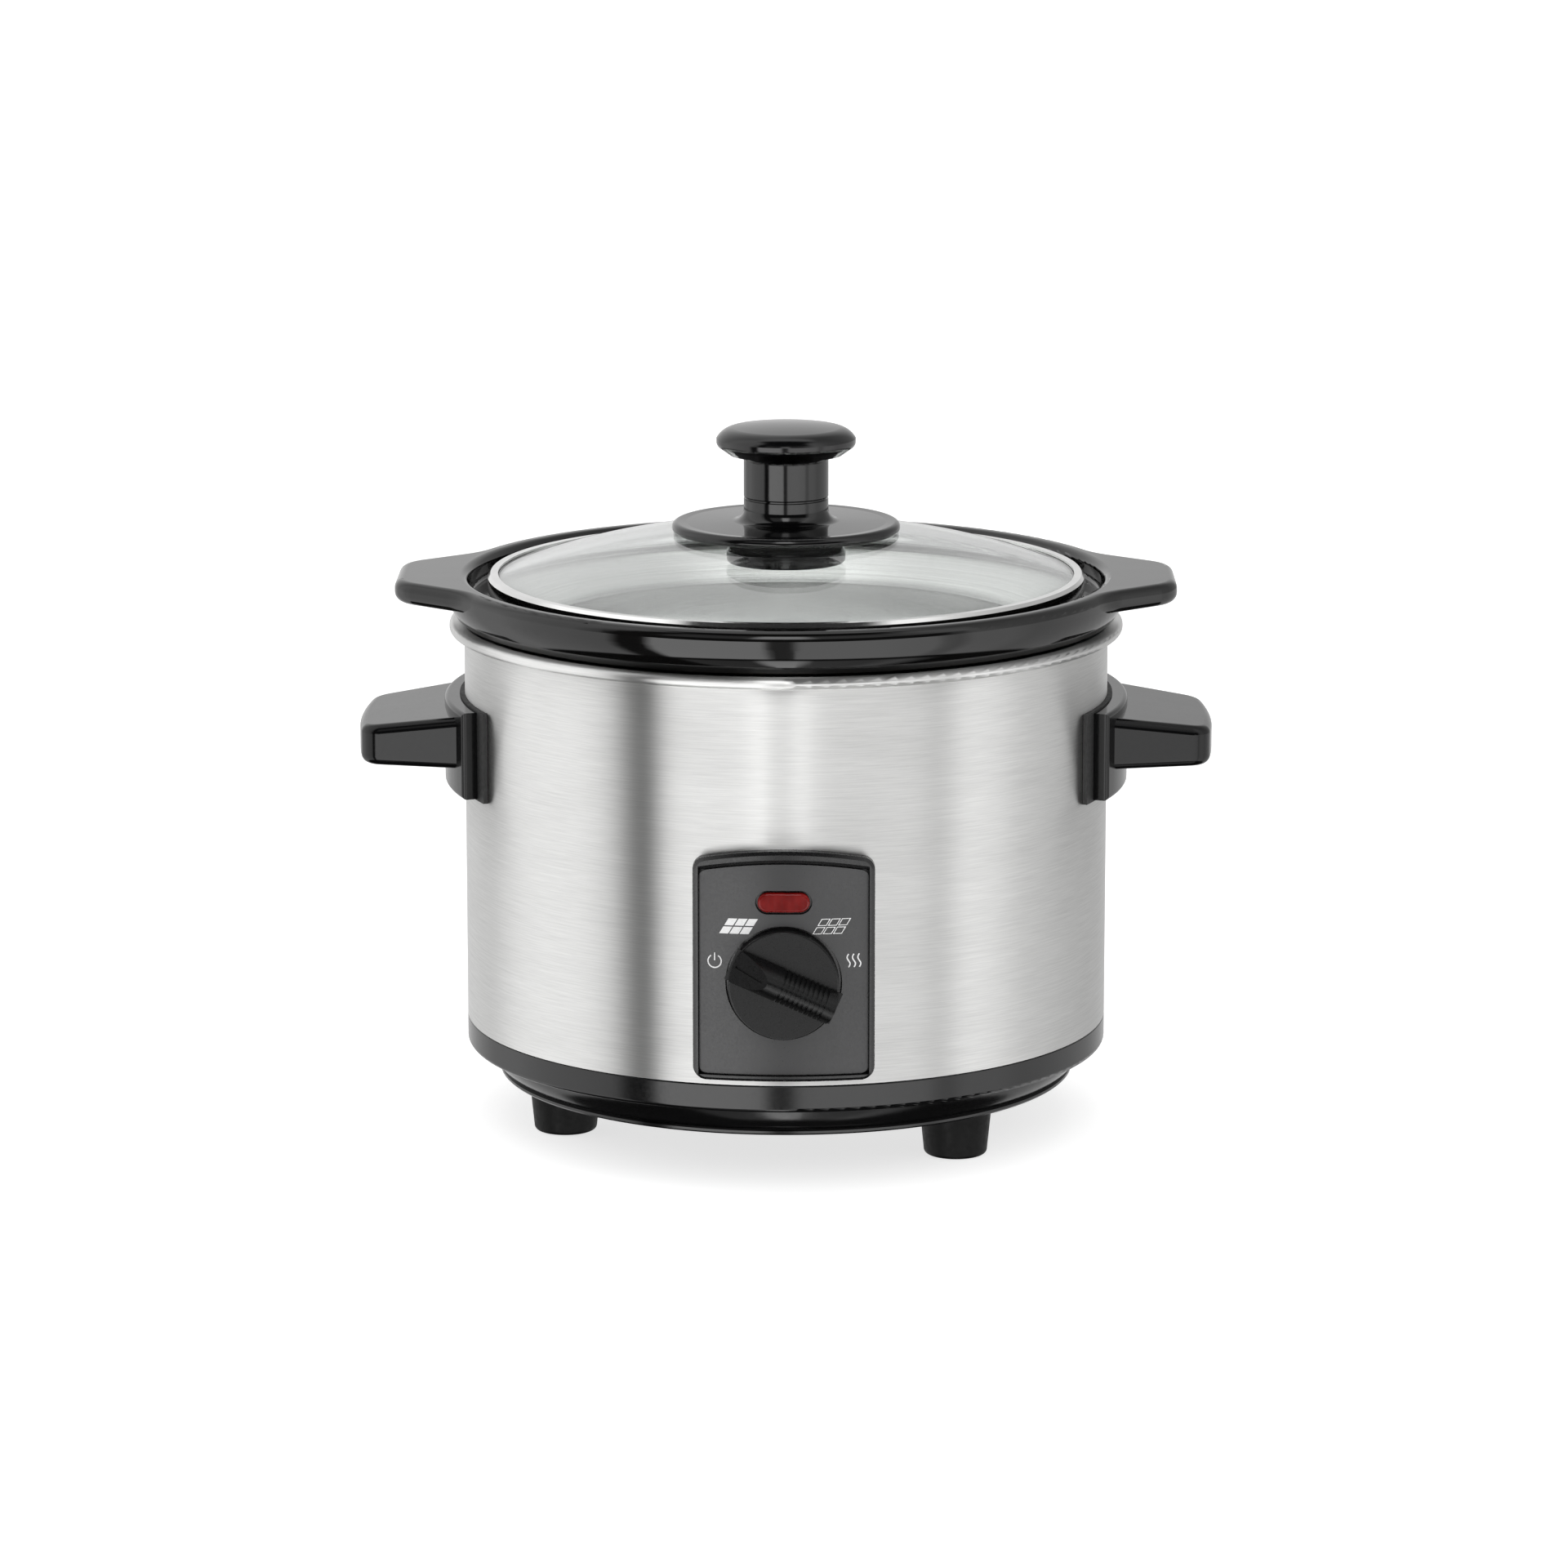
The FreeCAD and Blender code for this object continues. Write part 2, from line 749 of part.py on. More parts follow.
edge_r = SIZES["glass_edge_r"]
glass = SIZES["glass_thick"]
turned_body("lid_glass", [
    Corner(4.5, dome_height(4.5, glass)),
    Corner(4.5, dome_height(4.5), arc=dim.dome_r, turn=-1),
    Corner(edge_r, dome_height(edge_r)),
    Corner(edge_r, dome_height(edge_r, glass), arc=dim.dome_r - dim.glass_thick),
])
band_top = dome_height(83.6) + 0.7
turned_body("lid_rim_band", [
    (83.6, dim.lid_band_low),
    (dim.lid_band_r, dim.lid_band_low),
    (dim.lid_band_r, 161.2),
    (dim.lid_band_r - 0.8, band_top),
    (83.6, band_top),
    (83.6, dome_height(83.6) + 0.1),
    (edge_r + 0.2, dome_height(edge_r) + 0.1),
    (edge_r + 0.2, dome_height(edge_r, glass) - 0.07),
    (83.6, dome_height(edge_r, glass) - 0.07),
], rounds=[
    (dim.lid_band_r, dim.lid_band_low, 0.5),
])
flange_low = dome_height(SIZES["flange_r"]) + 0.15
turned_body("lid_knob_base", [
    (3.0, dome_height(3.0) + 2.3),
    (11.0, dome_height(11.0) + 2.3),
    (11.0, dome_height(11.0) + 0.15),
    Corner(24.0, dome_height(24.0) + 0.15),
    (dim.flange_r, flange_low),
    (dim.flange_r, dim.flange_top),
    (29.0, dim.flange_top - 0.2),
    Corner(dim.stem_r + 3.4, dim.flange_top + 0.2, arc=3.4, turn=-1),
    (dim.stem_r, dim.flange_top + 3.6),
    (dim.stem_r, dim.stem_seam - 0.5),
    (dim.stem_r - 0.8, dim.stem_seam - 0.5),
    (dim.stem_r - 0.8, dim.stem_seam),
    (3.0, dim.stem_seam),
], rounds=[
    (dim.flange_r, flange_low, 1.2),
    (dim.flange_r, dim.flange_top, 1.6),
])
# the knob's top is a shallow cap whose centre lies on the axis
cap_half = SIZES["knob_r"] - 4.6
cap_r = (cap_half * cap_half + 0.9 * 0.9) / (2 * 0.9)
turned_body("lid_knob", [
    (4.7, dim.stem_seam + 0.05),
    (dim.stem_r, dim.stem_seam + 0.05),
    (dim.stem_r, dim.knob_low),
    (dim.knob_r - 3.6, dim.knob_low + 0.4),
    (dim.knob_r, dim.knob_low + 3.0),
    Corner(dim.knob_r, dim.knob_low + 5.0, arc=6.2),
    Corner(dim.knob_r - 4.6, dim.knob_top - 0.9, arc=cap_r),
    (0, dim.knob_top),
    (0, 197.0),
    (4.7, 197.0),
], rounds=[
    (dim.stem_r, dim.stem_seam + 0.05, 0.4),
    (dim.knob_r, dim.knob_low + 3.0, 2.0),
    (dim.stem_r, dim.knob_low, 1.5),
])
turned_body("knob_insert", [
    (2.55, 185.0),
    (4.65, 185.0),
    (4.65, 196.8),
    (2.55, 196.8),
])
turned_body("lid_gasket_upper", [
    (3.0, dome_height(3.0) + 0.05),
    (10.8, dome_height(10.8) + 0.05),
    (10.8, dome_height(10.8) + 2.2),
    (3.0, dome_height(3.0) + 2.2),
])
boss_top = dome_height(17.2, glass) - 1.6
turned_body("lid_boss", [
    (3.0, 167.6),
    (6.2, 167.6),
    (6.2, dim.boss_low),
    (dim.boss_r, dim.boss_low),
    (dim.boss_r, dim.boss_low + 3.6),
    (dim.boss_r - 0.8, dim.boss_low + 4.0),
    (dim.boss_r - 0.8, boss_top),
    (3.0, boss_top),
], rounds=[
    (dim.boss_r, dim.boss_low, 1.3),
    (dim.boss_r, dim.boss_low + 3.6, 1.0),
    (dim.boss_r - 0.8, boss_top, 1.0),
])
turned_body("lid_gasket_lower", [
    (4.0, boss_top + 0.05),
    (14.0, boss_top + 0.05),
    (14.0, dome_height(14.0, glass) - 0.05),
    (4.0, dome_height(4.0, glass) - 0.05),
])
lid_screw = fastener_body("lid_screw_source", 2.5, 28.0, 5.0, 3.0)
group("lid_screw", lid_screw, [place_at(0, 0, 167.6)])

# ---------------------------------------------------------------------------- side handles

HALF_PAD = 21.5
pad_mid = (SIZES["handle_low"] + SIZES["handle_high"]) / 2.0

handle = new_body("handle_right")
extruded(handle, "XY_Plane", 15.6, [[
    Corner(92.0, -31.3),
    Corner(dim.wing_tip, -24.6, arc=150.0),
    Corner(dim.wing_tip, 24.6),
    Corner(92.0, 31.3),
]], offset=109.3)
# the grip's top falls towards the tip
extruded(handle, "XZ_Plane", 80.0, [[
    (90.0, 125.0), (127.0, 119.9), (127.0, 128.0), (90.0, 128.0),
]], cut=True, both=True)
tip_corners = edges_where(handle.Tip.Shape, lambda edge, middle: middle.x > 121.0
                          and edge.BoundBox.ZLength > 8.0)
dress(handle, "Fillet", tip_corners, 7.0)


def grip_edges(edge, middle):
    level = edge.BoundBox.ZLength < 6.0
    return level and middle.x > 97.5


dress(handle, "Fillet", edges_where(handle.Tip.Shape, grip_edges), 2.6)
turned(handle, [
    (dim.handle_pad_r, dim.handle_low),
    (dim.handle_face_r, dim.handle_low),
    (dim.handle_face_r, dim.handle_high),
    (dim.handle_pad_r, dim.handle_high),
], angle=2 * HALF_PAD, middle=True)


def pad_edges(edge, middle):
    radius = math.hypot(middle.x, middle.y)
    outer = abs(radius - SIZES["handle_face_r"]) < 0.05
    upright = edge.BoundBox.ZLength > 20.0
    level = circle_of(edge) is not None and edge.Length > 60.0
    return outer and (upright or level)


dress(handle, "Fillet", edges_where(handle.Tip.Shape, pad_edges), 1.2)
# nothing of the grip stands inside the pad, and two blind holes take the screws
extruded(handle, "XY_Plane", 0, (), [(0, 0, dim.handle_pad_r)], cut=True, both=True,
         through=True)
extruded(handle, "YZ_Plane", 13.0, (), [(0, z, 1.6) for z in HANDLE_SCREW_Z], offset=94.0,
         cut=True, reverse=True)
handle_left = mirrored("handle_left", handle)

gasket = turned_body("handle_gasket_right", [
    (dim.shell_r + 0.05, dim.handle_low - 0.5),
    (dim.handle_pad_r - 0.05, dim.handle_low - 0.5),
    (dim.handle_pad_r - 0.05, dim.handle_high + 0.5),
    (dim.shell_r + 0.05, dim.handle_high + 0.5),
], angle=49.0, middle=True)
extruded(gasket, "YZ_Plane", 0, (), [(0, z, 2.0) for z in HANDLE_SCREW_Z], cut=True,
         both=True, through=True)
mirrored("handle_gasket_left", gasket)

handle_screw = fastener_body("handle_screw", 1.6, 15.0, 2.9, 2.2)
handle_washer = disc_body("handle_washer", 1.7, 3.6, 0.6)
handle_places = [(way, z) for way in (1, -1) for z in HANDLE_SCREW_Z]
group("handle_screws", handle_screw,
      [place_at(way * 92.0, 0, z, ALONG_Y, 90.0 * way) for way, z in handle_places])
group("handle_washers", handle_washer,
      [place_at(way * 92.02, 0, z, ALONG_Y, 90.0 * way) for way, z in handle_places])

# ---------------------------------------------------------------------------- control panel


def panel_outline(side, top, bottom, arch):
    """Outline of the panel seen from the front, with an arched top."""
    half = SIZES["panel_half_width"] - side
    low = SIZES["panel_low"] + bottom
    high = SIZES["panel_high"] - top
    radius = (half * half + arch * arch) / (2.0 * arch)
    return [
        Corner(-half, low), Corner(half, low),
        Corner(half, high - arch, arc=radius), Corner(-half, high - arch),
    ]


def curved_plate(body, outline, inner, outer, corner_r):
    """A plate with this outline from the front, bent round the shell between two radii."""
    extruded(body, "XZ_Plane", 30.0, [outline], offset=80.0)
    uprights = edges_where(body.Tip.Shape, lambda edge, middle: edge.BoundBox.YLength > 29.0)
    dress(body, "Fillet", uprights, corner_r)
    extruded(body, "XY_Plane", 0, (), [(0, 0, 160.0), (0, 0, outer)], cut=True, both=True,
             through=True)
    extruded(body, "XY_Plane", 0, (), [(0, 0, inner)], cut=True, both=True, through=True)


ARCH = SIZES["panel_arch"]
frame = doc.addObject("PartDesign::Body", "panel_rim_source")
curved_plate(frame, panel_outline(0, 0, 0, ARCH), dim.shell_r + 0.05, dim.panel_r, 3.8)
front_edges = edges_where(frame.Tip.Shape, lambda edge, middle: abs(
    math.hypot(middle.x, middle.y) - SIZES["panel_r"]) < 0.05)
dress(frame, "Chamfer", front_edges, 0.9)
extruded(frame, "XZ_Plane", 0, [panel_outline(1.5, 3.5, 1.6, ARCH * 0.86)], offset=40.0,
         cut=True, reverse=True, through=True)
# the opening's top edge is bevelled down to the face
opening_top = edges_where(frame.Tip.Shape, lambda edge, middle: middle.y < -97.2
                          and 94.0 < middle.z < 97.5 and edge.BoundBox.XLength > 40.0)
dress(frame, "Chamfer", opening_top, 1.2)
back = doc.addObject("PartDesign::Body", "panel_back_source")
curved_plate(back, panel_outline(1.2, 1.6, 1.2, ARCH), dim.shell_r + 0.05, dim.shell_r + 1.55,
             2.8)
extruded(back, "XZ_Plane", 0, [obround(0, dim.lens_z, 13.4, 5.6)],
         [(0, dim.dial_z, 8.0)] + [(x, z, 1.8) for x, z in PANEL_SCREWS],
         offset=40.0, cut=True, reverse=True, through=True)
panel = doc.addObject("Part::MultiFuse", "panel_frame")
panel.Shapes = [frame, back]
keep("panel_frame", panel)
doc.recompute()

face = new_body("panel_face")
curved_plate(face, panel_outline(1.75, 3.75, 1.85, ARCH * 0.85), dim.shell_r + 1.6, dim.face_r, 2.2)
extruded(face, "XZ_Plane", 0, [obround(0, dim.lens_z, 15.9, 6.8)], [(0, dim.dial_z, 16.3)],
         offset=40.0, cut=True, reverse=True, through=True)

lens = new_body("indicator_lens")
extruded(lens, "XZ_Plane", 1.7, [obround(0, dim.lens_z, 14.6, 5.5)], offset=95.2)
dress(lens, "Fillet", edges_where(lens.Tip.Shape, lambda edge, middle: edge.BoundBox.YMax < -96.8),
      0.7)
extruded(lens, "XZ_Plane", 3.3, [obround(0, dim.lens_z, 12.6, 4.8)], offset=92.0)

lamp = new_body("neon_lamp")
extruded(lamp, "YZ_Plane", 10.0, (), [(-89.3, dim.lens_z, 2.2)], both=True)
holder = new_body("lamp_holder")
extruded(holder, "XY_Plane", 5.6, [[
    (-7.0, -92.0), (-5.3, -92.0), (-5.3, -86.6), (5.3, -86.6),
    (5.3, -92.0), (7.0, -92.0), (7.0, -85.7), (-7.0, -85.7),
]], offset=dim.lens_z - 2.8)

panel_screw = fastener_body("panel_screw", 1.4, 2.1, 2.6, 1.7)
screw_places = []
for x, z in PANEL_SCREWS:
    lean = math.degrees(math.asin(x / SIZES["shell_r"]))
    tilt = FreeCAD.Rotation(UP, lean).multiply(FreeCAD.Rotation(ALONG_X, 90.0))
    inside = 92.82
    turn = math.radians(lean)
    screw_places.append(FreeCAD.Placement(
        V(inside * math.sin(turn), -inside * math.cos(turn), z), tilt))
group("panel_screws", panel_screw, screw_places)

# ---------------------------------------------------------------------------- rotary switch

switch = new_body("rotary_switch_body")
extruded(switch, "XZ_Plane", 12.2, [box_outline(-12.0, 12.0, -11.0, 11.0)], offset=79.6)
dress(switch, "Fillet", edges_where(
    switch.Tip.Shape, lambda edge, middle: edge.BoundBox.YLength > 12.0), 1.5)
extruded(switch, "XZ_Plane", 3.6, (), [(0, 0, 4.4)], offset=91.6)
extruded(switch, "XZ_Plane", 12.0, (), [(0, 0, dim.shaft_r + 0.06)], offset=96.0, cut=True)
switch.Placement = place_at(0, 0, SIZES["dial_z"])

switch_nut = new_body("switch_nut")
extruded(switch_nut, "XZ_Plane", 1.6, [hex_outline(5.8)], [(0, 0, 4.45)], offset=93.6)
switch_nut.Placement = place_at(0, 0, SIZES["dial_z"])

switch_low = SIZES["dial_z"] - 11.0
terminals = new_body("switch_terminals")
terminals.AllowCompound = True
extruded(terminals, "XY_Plane", 7.0,
         [box_outline(x - 0.4, x + 0.4, -89.2, -84.4) for x in (-9.0, -3.0, 3.0, 9.0)],
         offset=switch_low - 7.0)

DIAL_REST = 24.0
dial_place = place_at(0, 0, SIZES["dial_z"], ALONG_Y, DIAL_REST)

shaft = new_body("switch_shaft")
extruded(shaft, "XZ_Plane", 20.0, (), [(0, 0, dim.shaft_r)], offset=84.3)
extruded(shaft, "XZ_Plane", 9.2, [box_outline(-4.0, 4.0, 1.7, 4.0)], offset=95.2, cut=True,
         reverse=True)
shaft.Placement = dial_place

knob = new_body("control_knob")
knob_back = 95.35
front_y = SIZES["dial_front"]
extruded(knob, "XZ_Plane", dim.dial_front - knob_back, (), [(0, 0, dim.dial_r)],
         offset=knob_back)
dress(knob, "Fillet", edges_where(knob.Tip.Shape, lambda edge, middle: abs(
    edge.BoundBox.YMin + front_y) < 0.01 and edge.BoundBox.YLength < 0.01), 0.5)


def grip_profile(inset, base):
    """Half-oval section of the grip bar, in Y and Z, shrunk by inset."""
    half = SIZES["grip_half_width"] - inset
    crest = -SIZES["dial_front"] - SIZES["grip_height"] + inset
    return [
        Corner(base, half),
        Corner(crest + 5.6, half - 0.1, arc=9.0),
        Corner(crest + 1.75, half * 0.62, arc=half * 0.76),
        Corner(crest + 1.75, -half * 0.62, arc=9.0),
        Corner(crest + 5.6, -half + 0.1),
        Corner(base, -half),
    ]


grip = grip_profile(0.0, -front_y + 0.5)
extruded(knob, "YZ_Plane", 2 * SIZES["dial_r"] + 1.0, [grip], both=True)
extruded(knob, "XZ_Plane", 0, (), [(0, 0, dim.dial_r - 0.15), (0, 0, 30.0)],
         offset=dim.dial_front, cut=True, reverse=True, through=True)


def slope(x):
    """The flat that slopes up from the knob's edge to the grip's crest."""
    return -front_y - 0.9 - 0.62 * (x + 15.5)


extruded(knob, "XY_Plane", 14.0, [[(-16.5, slope(-16.5)), (-3.0, slope(-3.0)), (-16.5, slope(-3.0))]],
         cut=True, both=True)
extruded(knob, "XY_Plane", 0.6, [[
    (-14.6, slope(-14.6) + 0.45), (-14.6, slope(-14.6) - 1.0),
    (-6.6, slope(-6.6) - 1.0), (-6.6, slope(-6.6) + 0.45),
]], cut=True, both=True)
rib_base = -front_y - 0.1
channel = grip_profile(0.5, rib_base)
rib_cut = extruded(knob, "YZ_Plane", 0.65, [[Corner(rib_base, 5.6)] + channel + [
    Corner(rib_base, -5.6), Corner(-110.0, -5.6), Corner(-110.0, 5.6)]],
    offset=-1.2, cut=True, reverse=True)
ribs = knob.newObject("PartDesign::LinearPattern", "grip_ribs")
ribs.Originals = [rib_cut]
ribs.Direction = (knob.Origin.OriginFeatures[0], [""])
ribs.Length = 12.8
ribs.Occurrences = 10
knob.Tip = ribs
doc.recompute()
extruded(knob, "XZ_Plane", 2.4, (), [(0, 0, 5.6), (0, 0, 14.2)], offset=knob_back, cut=True,
         reverse=True)
bore_r = SIZES["shaft_r"] + 0.04
flat = 1.72
chord = math.sqrt(bore_r * bore_r - flat * flat)
extruded(knob, "XZ_Plane", 9.4, [[
    Corner(chord, flat), Corner(-chord, flat, arc=bore_r), Corner(0, -bore_r, arc=bore_r),
]], offset=knob_back, cut=True, reverse=True)
extruded(knob, "XZ_Plane", 6.0, [box_outline(-2.2, 2.2, 1.6, 2.5)], offset=97.0, cut=True,
         reverse=True)
knob.Placement = dial_place

clip = new_body("knob_spring_clip")
extruded(clip, "XZ_Plane", 5.6, [box_outline(-2.0, 2.0, 1.8, 2.2)], offset=97.2)
clip.Placement = dial_place

# ---------------------------------------------------------------------------- wiring side

fuse = new_body("thermal_fuse")
extruded(fuse, "YZ_Plane", 14.0, (), [(10.0, 63.8, 2.0)], offset=20.0)
fuse_clip = new_body("thermal_fuse_clip")
extruded(fuse_clip, "YZ_Plane", 4.0, [[
    (5.0, 65.2), (6.9, 65.2), (6.9, 60.9), (13.1, 60.9), (13.1, 65.2), (15.0, 65.2),
    (15.0, 65.8), (12.5, 65.8), (12.5, 61.5), (7.5, 61.5), (7.5, 65.8), (5.0, 65.8),
]], offset=25.0)

TERMINAL_X = (-17.0, -10.0, -3.0)
block = new_body("terminal_block")
extruded(block, "XY_Plane", 12.0, [box_outline(-21.0, 1.0, 52.0, 64.0)], offset=17.7)
extruded(block, "XY_Plane", 5.0, (), [(x, 58.0, 1.75) for x in TERMINAL_X], offset=29.7,
         cut=True)
block_screw = disc_body("block_screw", 0, 1.7, 3.6)
extruded(block_screw, "XY_Plane", 1.2, [box_outline(-1.2, 1.2, -0.25, 0.25)], offset=3.6,
         cut=True)
group("terminal_screws", block_screw, [place_at(x, 58.0, 24.8) for x in TERMINAL_X])

tag = new_body("earth_tag")
tag_low = SIZES["well_floor"] - SIZES["well_thick"] - 0.9
extruded(tag, "XY_Plane", 0.8, (), [(0, 0, 5.4)], offset=tag_low)
extruded(tag, "XY_Plane", 0.8, [box_outline(3.0, 14.0, -2.4, 2.4)], offset=tag_low)
extruded(tag, "XY_Plane", 0, (), [(0, 0, 2.6)], cut=True, both=True, through=True)

gland = turned_body("cord_gland", [
    (dim.gland_bore_r, 95.6),
    (5.0, 95.6),
    (5.0, 90.2),
    (8.6, 90.2),
    (8.6, 92.3),
    (6.8, 92.3),
    (6.8, 93.7),
    (9.2, 93.7),
    (9.2, 96.0),
    (7.0, 96.8),
    (5.6, dim.gland_end),
    (dim.gland_bore_r, dim.gland_end),
], rounds=[(9.2, 96.0, 0.8), (5.6, dim.gland_end, 0.6)])
gland.Placement = place_at(0, 0, SIZES["gland_z"], ALONG_X, -90.0)


def sleeved_wire(points, radius, bend):
    """A round wire along straight runs between the points, with an arc at each bend."""
    points = [V(*point) for point in points]
    edges = []
    start = points[0]
    for before, corner, after in zip(points, points[1:], points[2:]):
        back = (before - corner).normalize()
        onward = (after - corner).normalize()
        half_angle = back.getAngle(onward) / 2
        set_back = bend / math.tan(half_angle)
        middle = (back + onward).normalize()
        crest = corner + middle * (bend / math.sin(half_angle) - bend)
        arc_start = corner + back * set_back
        arc_end = corner + onward * set_back
        edges.append(Part.LineSegment(start, arc_start).toShape())
        edges.append(Part.Arc(arc_start, crest, arc_end).toShape())
        start = arc_end
    edges.append(Part.LineSegment(start, points[-1]).toShape())
    ring = Part.Wire([Part.makeCircle(radius, points[0], points[1] - points[0])])
    return Part.Wire(edges).makePipeShell([ring], True, False)


WIRE_R = 1.1
WIRE_BEND = 14.0
tab_z = switch_low - 8.3
wire_runs = [
    # terminal block to the switch
    [(-17.0, 50.8, 24.0), (-30.0, 36.0, 32.0), (-34.0, -10.0, 38.0), (-20.0, -60.0, 36.0),
     (-9.0, -86.8, tab_z)],
    [(-3.0, 50.8, 24.0), (16.0, 36.0, 33.0), (22.0, -10.0, 38.0), (12.0, -60.0, 36.0),
     (3.0, -86.8, tab_z)],
    # switch to the heater, round the shield and up at the back
    [(9.0, -86.8, tab_z), (36.0, -74.0, 38.0), (82.0, -10.0, 42.0), (62.0, 56.0, 46.0),
     (22.0, 84.5, 60.0), (14.6, 88.0, 78.0), (14.6, 88.0, 95.0)],
]
wiring = doc.addObject("Part::Feature", "internal_wiring")
wiring.Shape = Part.makeCompound([sleeved_wire(run, WIRE_R, WIRE_BEND) for run in wire_runs])
keep("internal_wiring", wiring)

# ---------------------------------------------------------------------------- export

doc.recompute()
for item in doc.Objects:
    if "Invalid" in item.State or "Error" in item.State:
        raise RuntimeError(f"{item.Name} did not recompute: {item.State}")
for label, item in NODES.items():
    shape = item.Shape
    if shape.isNull() or not shape.isValid() or not shape.Solids:
        raise RuntimeError(f"{label} has no valid solid")
    shape.exportStep(f"parts/{label}.step")
print(len(NODES), "nodes exported")
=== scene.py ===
import json
import math

import bmesh
import bpy
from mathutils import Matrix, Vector


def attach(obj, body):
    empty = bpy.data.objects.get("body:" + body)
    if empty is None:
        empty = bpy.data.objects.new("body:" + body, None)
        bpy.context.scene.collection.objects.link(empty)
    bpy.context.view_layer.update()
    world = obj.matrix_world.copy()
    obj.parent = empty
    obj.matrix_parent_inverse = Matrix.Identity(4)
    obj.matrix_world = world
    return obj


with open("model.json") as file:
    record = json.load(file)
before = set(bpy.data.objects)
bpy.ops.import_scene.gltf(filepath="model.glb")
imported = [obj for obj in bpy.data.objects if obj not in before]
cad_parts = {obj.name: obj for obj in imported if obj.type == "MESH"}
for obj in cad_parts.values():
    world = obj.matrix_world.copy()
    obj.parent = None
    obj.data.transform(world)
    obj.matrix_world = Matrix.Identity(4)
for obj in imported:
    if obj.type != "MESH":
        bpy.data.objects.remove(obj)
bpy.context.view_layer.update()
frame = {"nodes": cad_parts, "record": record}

MM = 0.001
nodes = frame["nodes"]


# ---------------------------------------------------------------------------- materials


class Look:
    """A material on one Principled shader, with methods that add its grain, wear, painted shade and
    bumps.
    """

    def __init__(self, name, colour, roughness, metallic=0.0):
        self.material = bpy.data.materials.new(name)
        self.material.use_nodes = True
        self.tree = self.material.node_tree
        self.shader = self.tree.nodes["Principled BSDF"]
        self.place = self.add("ShaderNodeTexCoord").outputs["Object"]
        self.base = colour
        self.normal = None
        self.material.diffuse_color = (*colour, 1.0)
        self.set("Base Color", (*colour, 1.0))
        self.set("Roughness", roughness)
        self.set("Metallic", metallic)

    def add(self, kind, **values):
        node = self.tree.nodes.new(kind)
        for key, value in values.items():
            setattr(node, key, value)
        return node

    def set(self, socket, value):
        self.shader.inputs[socket].default_value = value

    def link(self, source, target):
        self.tree.links.new(source, target)

    def scaled(self, scale):
        """The object's coordinates, scaled along each axis."""
        node = self.add("ShaderNodeMapping")
        node.inputs["Scale"].default_value = scale
        self.link(self.place, node.inputs["Vector"])
        return node.outputs["Vector"]

    def rings(self, across, around):
        """Coordinates for marks that run round the vertical axis: across is how fast they
        change with radius, around how slowly they change along a ring."""
        flat = self.add("ShaderNodeVectorMath", operation="MULTIPLY")
        flat.inputs[1].default_value = (1.0, 1.0, 0.0)
        self.link(self.place, flat.inputs[0])
        radius = self.add("ShaderNodeVectorMath", operation="LENGTH")
        self.link(flat.outputs["Vector"], radius.inputs[0])
        unit = self.add("ShaderNodeVectorMath", operation="NORMALIZE")
        self.link(flat.outputs["Vector"], unit.inputs[0])
        slow = self.add("ShaderNodeVectorMath", operation="SCALE")
        slow.inputs["Scale"].default_value = around
        self.link(unit.outputs["Vector"], slow.inputs[0])
        fast = self.add("ShaderNodeMath", operation="MULTIPLY")
        fast.inputs[1].default_value = across
        self.link(radius.outputs["Value"], fast.inputs[0])
        height = self.add("ShaderNodeCombineXYZ")
        self.link(fast.outputs["Value"], height.inputs["Z"])
        total = self.add("ShaderNodeVectorMath", operation="ADD")
        self.link(slow.outputs["Vector"], total.inputs[0])
        self.link(height.outputs["Vector"], total.inputs[1])
        return total.outputs["Vector"]

    def noise(self, vector, detail=3.0, scale=1.0, roughness=0.5):
        node = self.add("ShaderNodeTexNoise")
        node.inputs["Scale"].default_value = scale
        node.inputs["Detail"].default_value = detail
        node.inputs["Roughness"].default_value = roughness
        self.link(vector, node.inputs["Vector"])
        return node.outputs["Fac"]

    def spots(self, vector, scale=1.0):
        node = self.add("ShaderNodeTexVoronoi")
        node.inputs["Scale"].default_value = scale
        self.link(vector, node.inputs["Vector"])
        return node.outputs["Distance"]

    def spread(self, source, low, high, start=0.3, end=0.7):
        """source, from start to end, as a value from low to high."""
        node = self.add("ShaderNodeMapRange")
        node.inputs["From Min"].default_value = start
        node.inputs["From Max"].default_value = end
        node.inputs["To Min"].default_value = low
        node.inputs["To Max"].default_value = high
        self.link(source, node.inputs["Value"])
        return node.outputs["Result"]

    def tint(self, source, dark, light, start=0.3, end=0.7):
        """The base colour goes from dark to light as source goes from start to end."""
        ramp = self.add("ShaderNodeValToRGB")
        ramp.color_ramp.elements[0].position = start
        ramp.color_ramp.elements[0].color = (*dark, 1.0)
        ramp.color_ramp.elements[1].position = end
        ramp.color_ramp.elements[1].color = (*light, 1.0)
        self.link(source, ramp.inputs["Fac"])
        self.link(ramp.outputs["Color"], self.shader.inputs["Base Color"])

    def painted_shade_below(self, height, rise, part):
        """Painted shade: below a height the base colour is darker by a factor, easing to full over
        rise.
        """
        split = self.add("ShaderNodeSeparateXYZ")
        self.link(self.place, split.inputs["Vector"])
        factor = self.spread(split.outputs["Z"], part, 1.0, height, height + rise)
        scale = self.add("ShaderNodeVectorMath", operation="SCALE")
        self.link(self.shader.inputs["Base Color"].links[0].from_socket, scale.inputs[0])
        self.link(factor, scale.inputs["Scale"])
        self.link(scale.outputs["Vector"], self.shader.inputs["Base Color"])

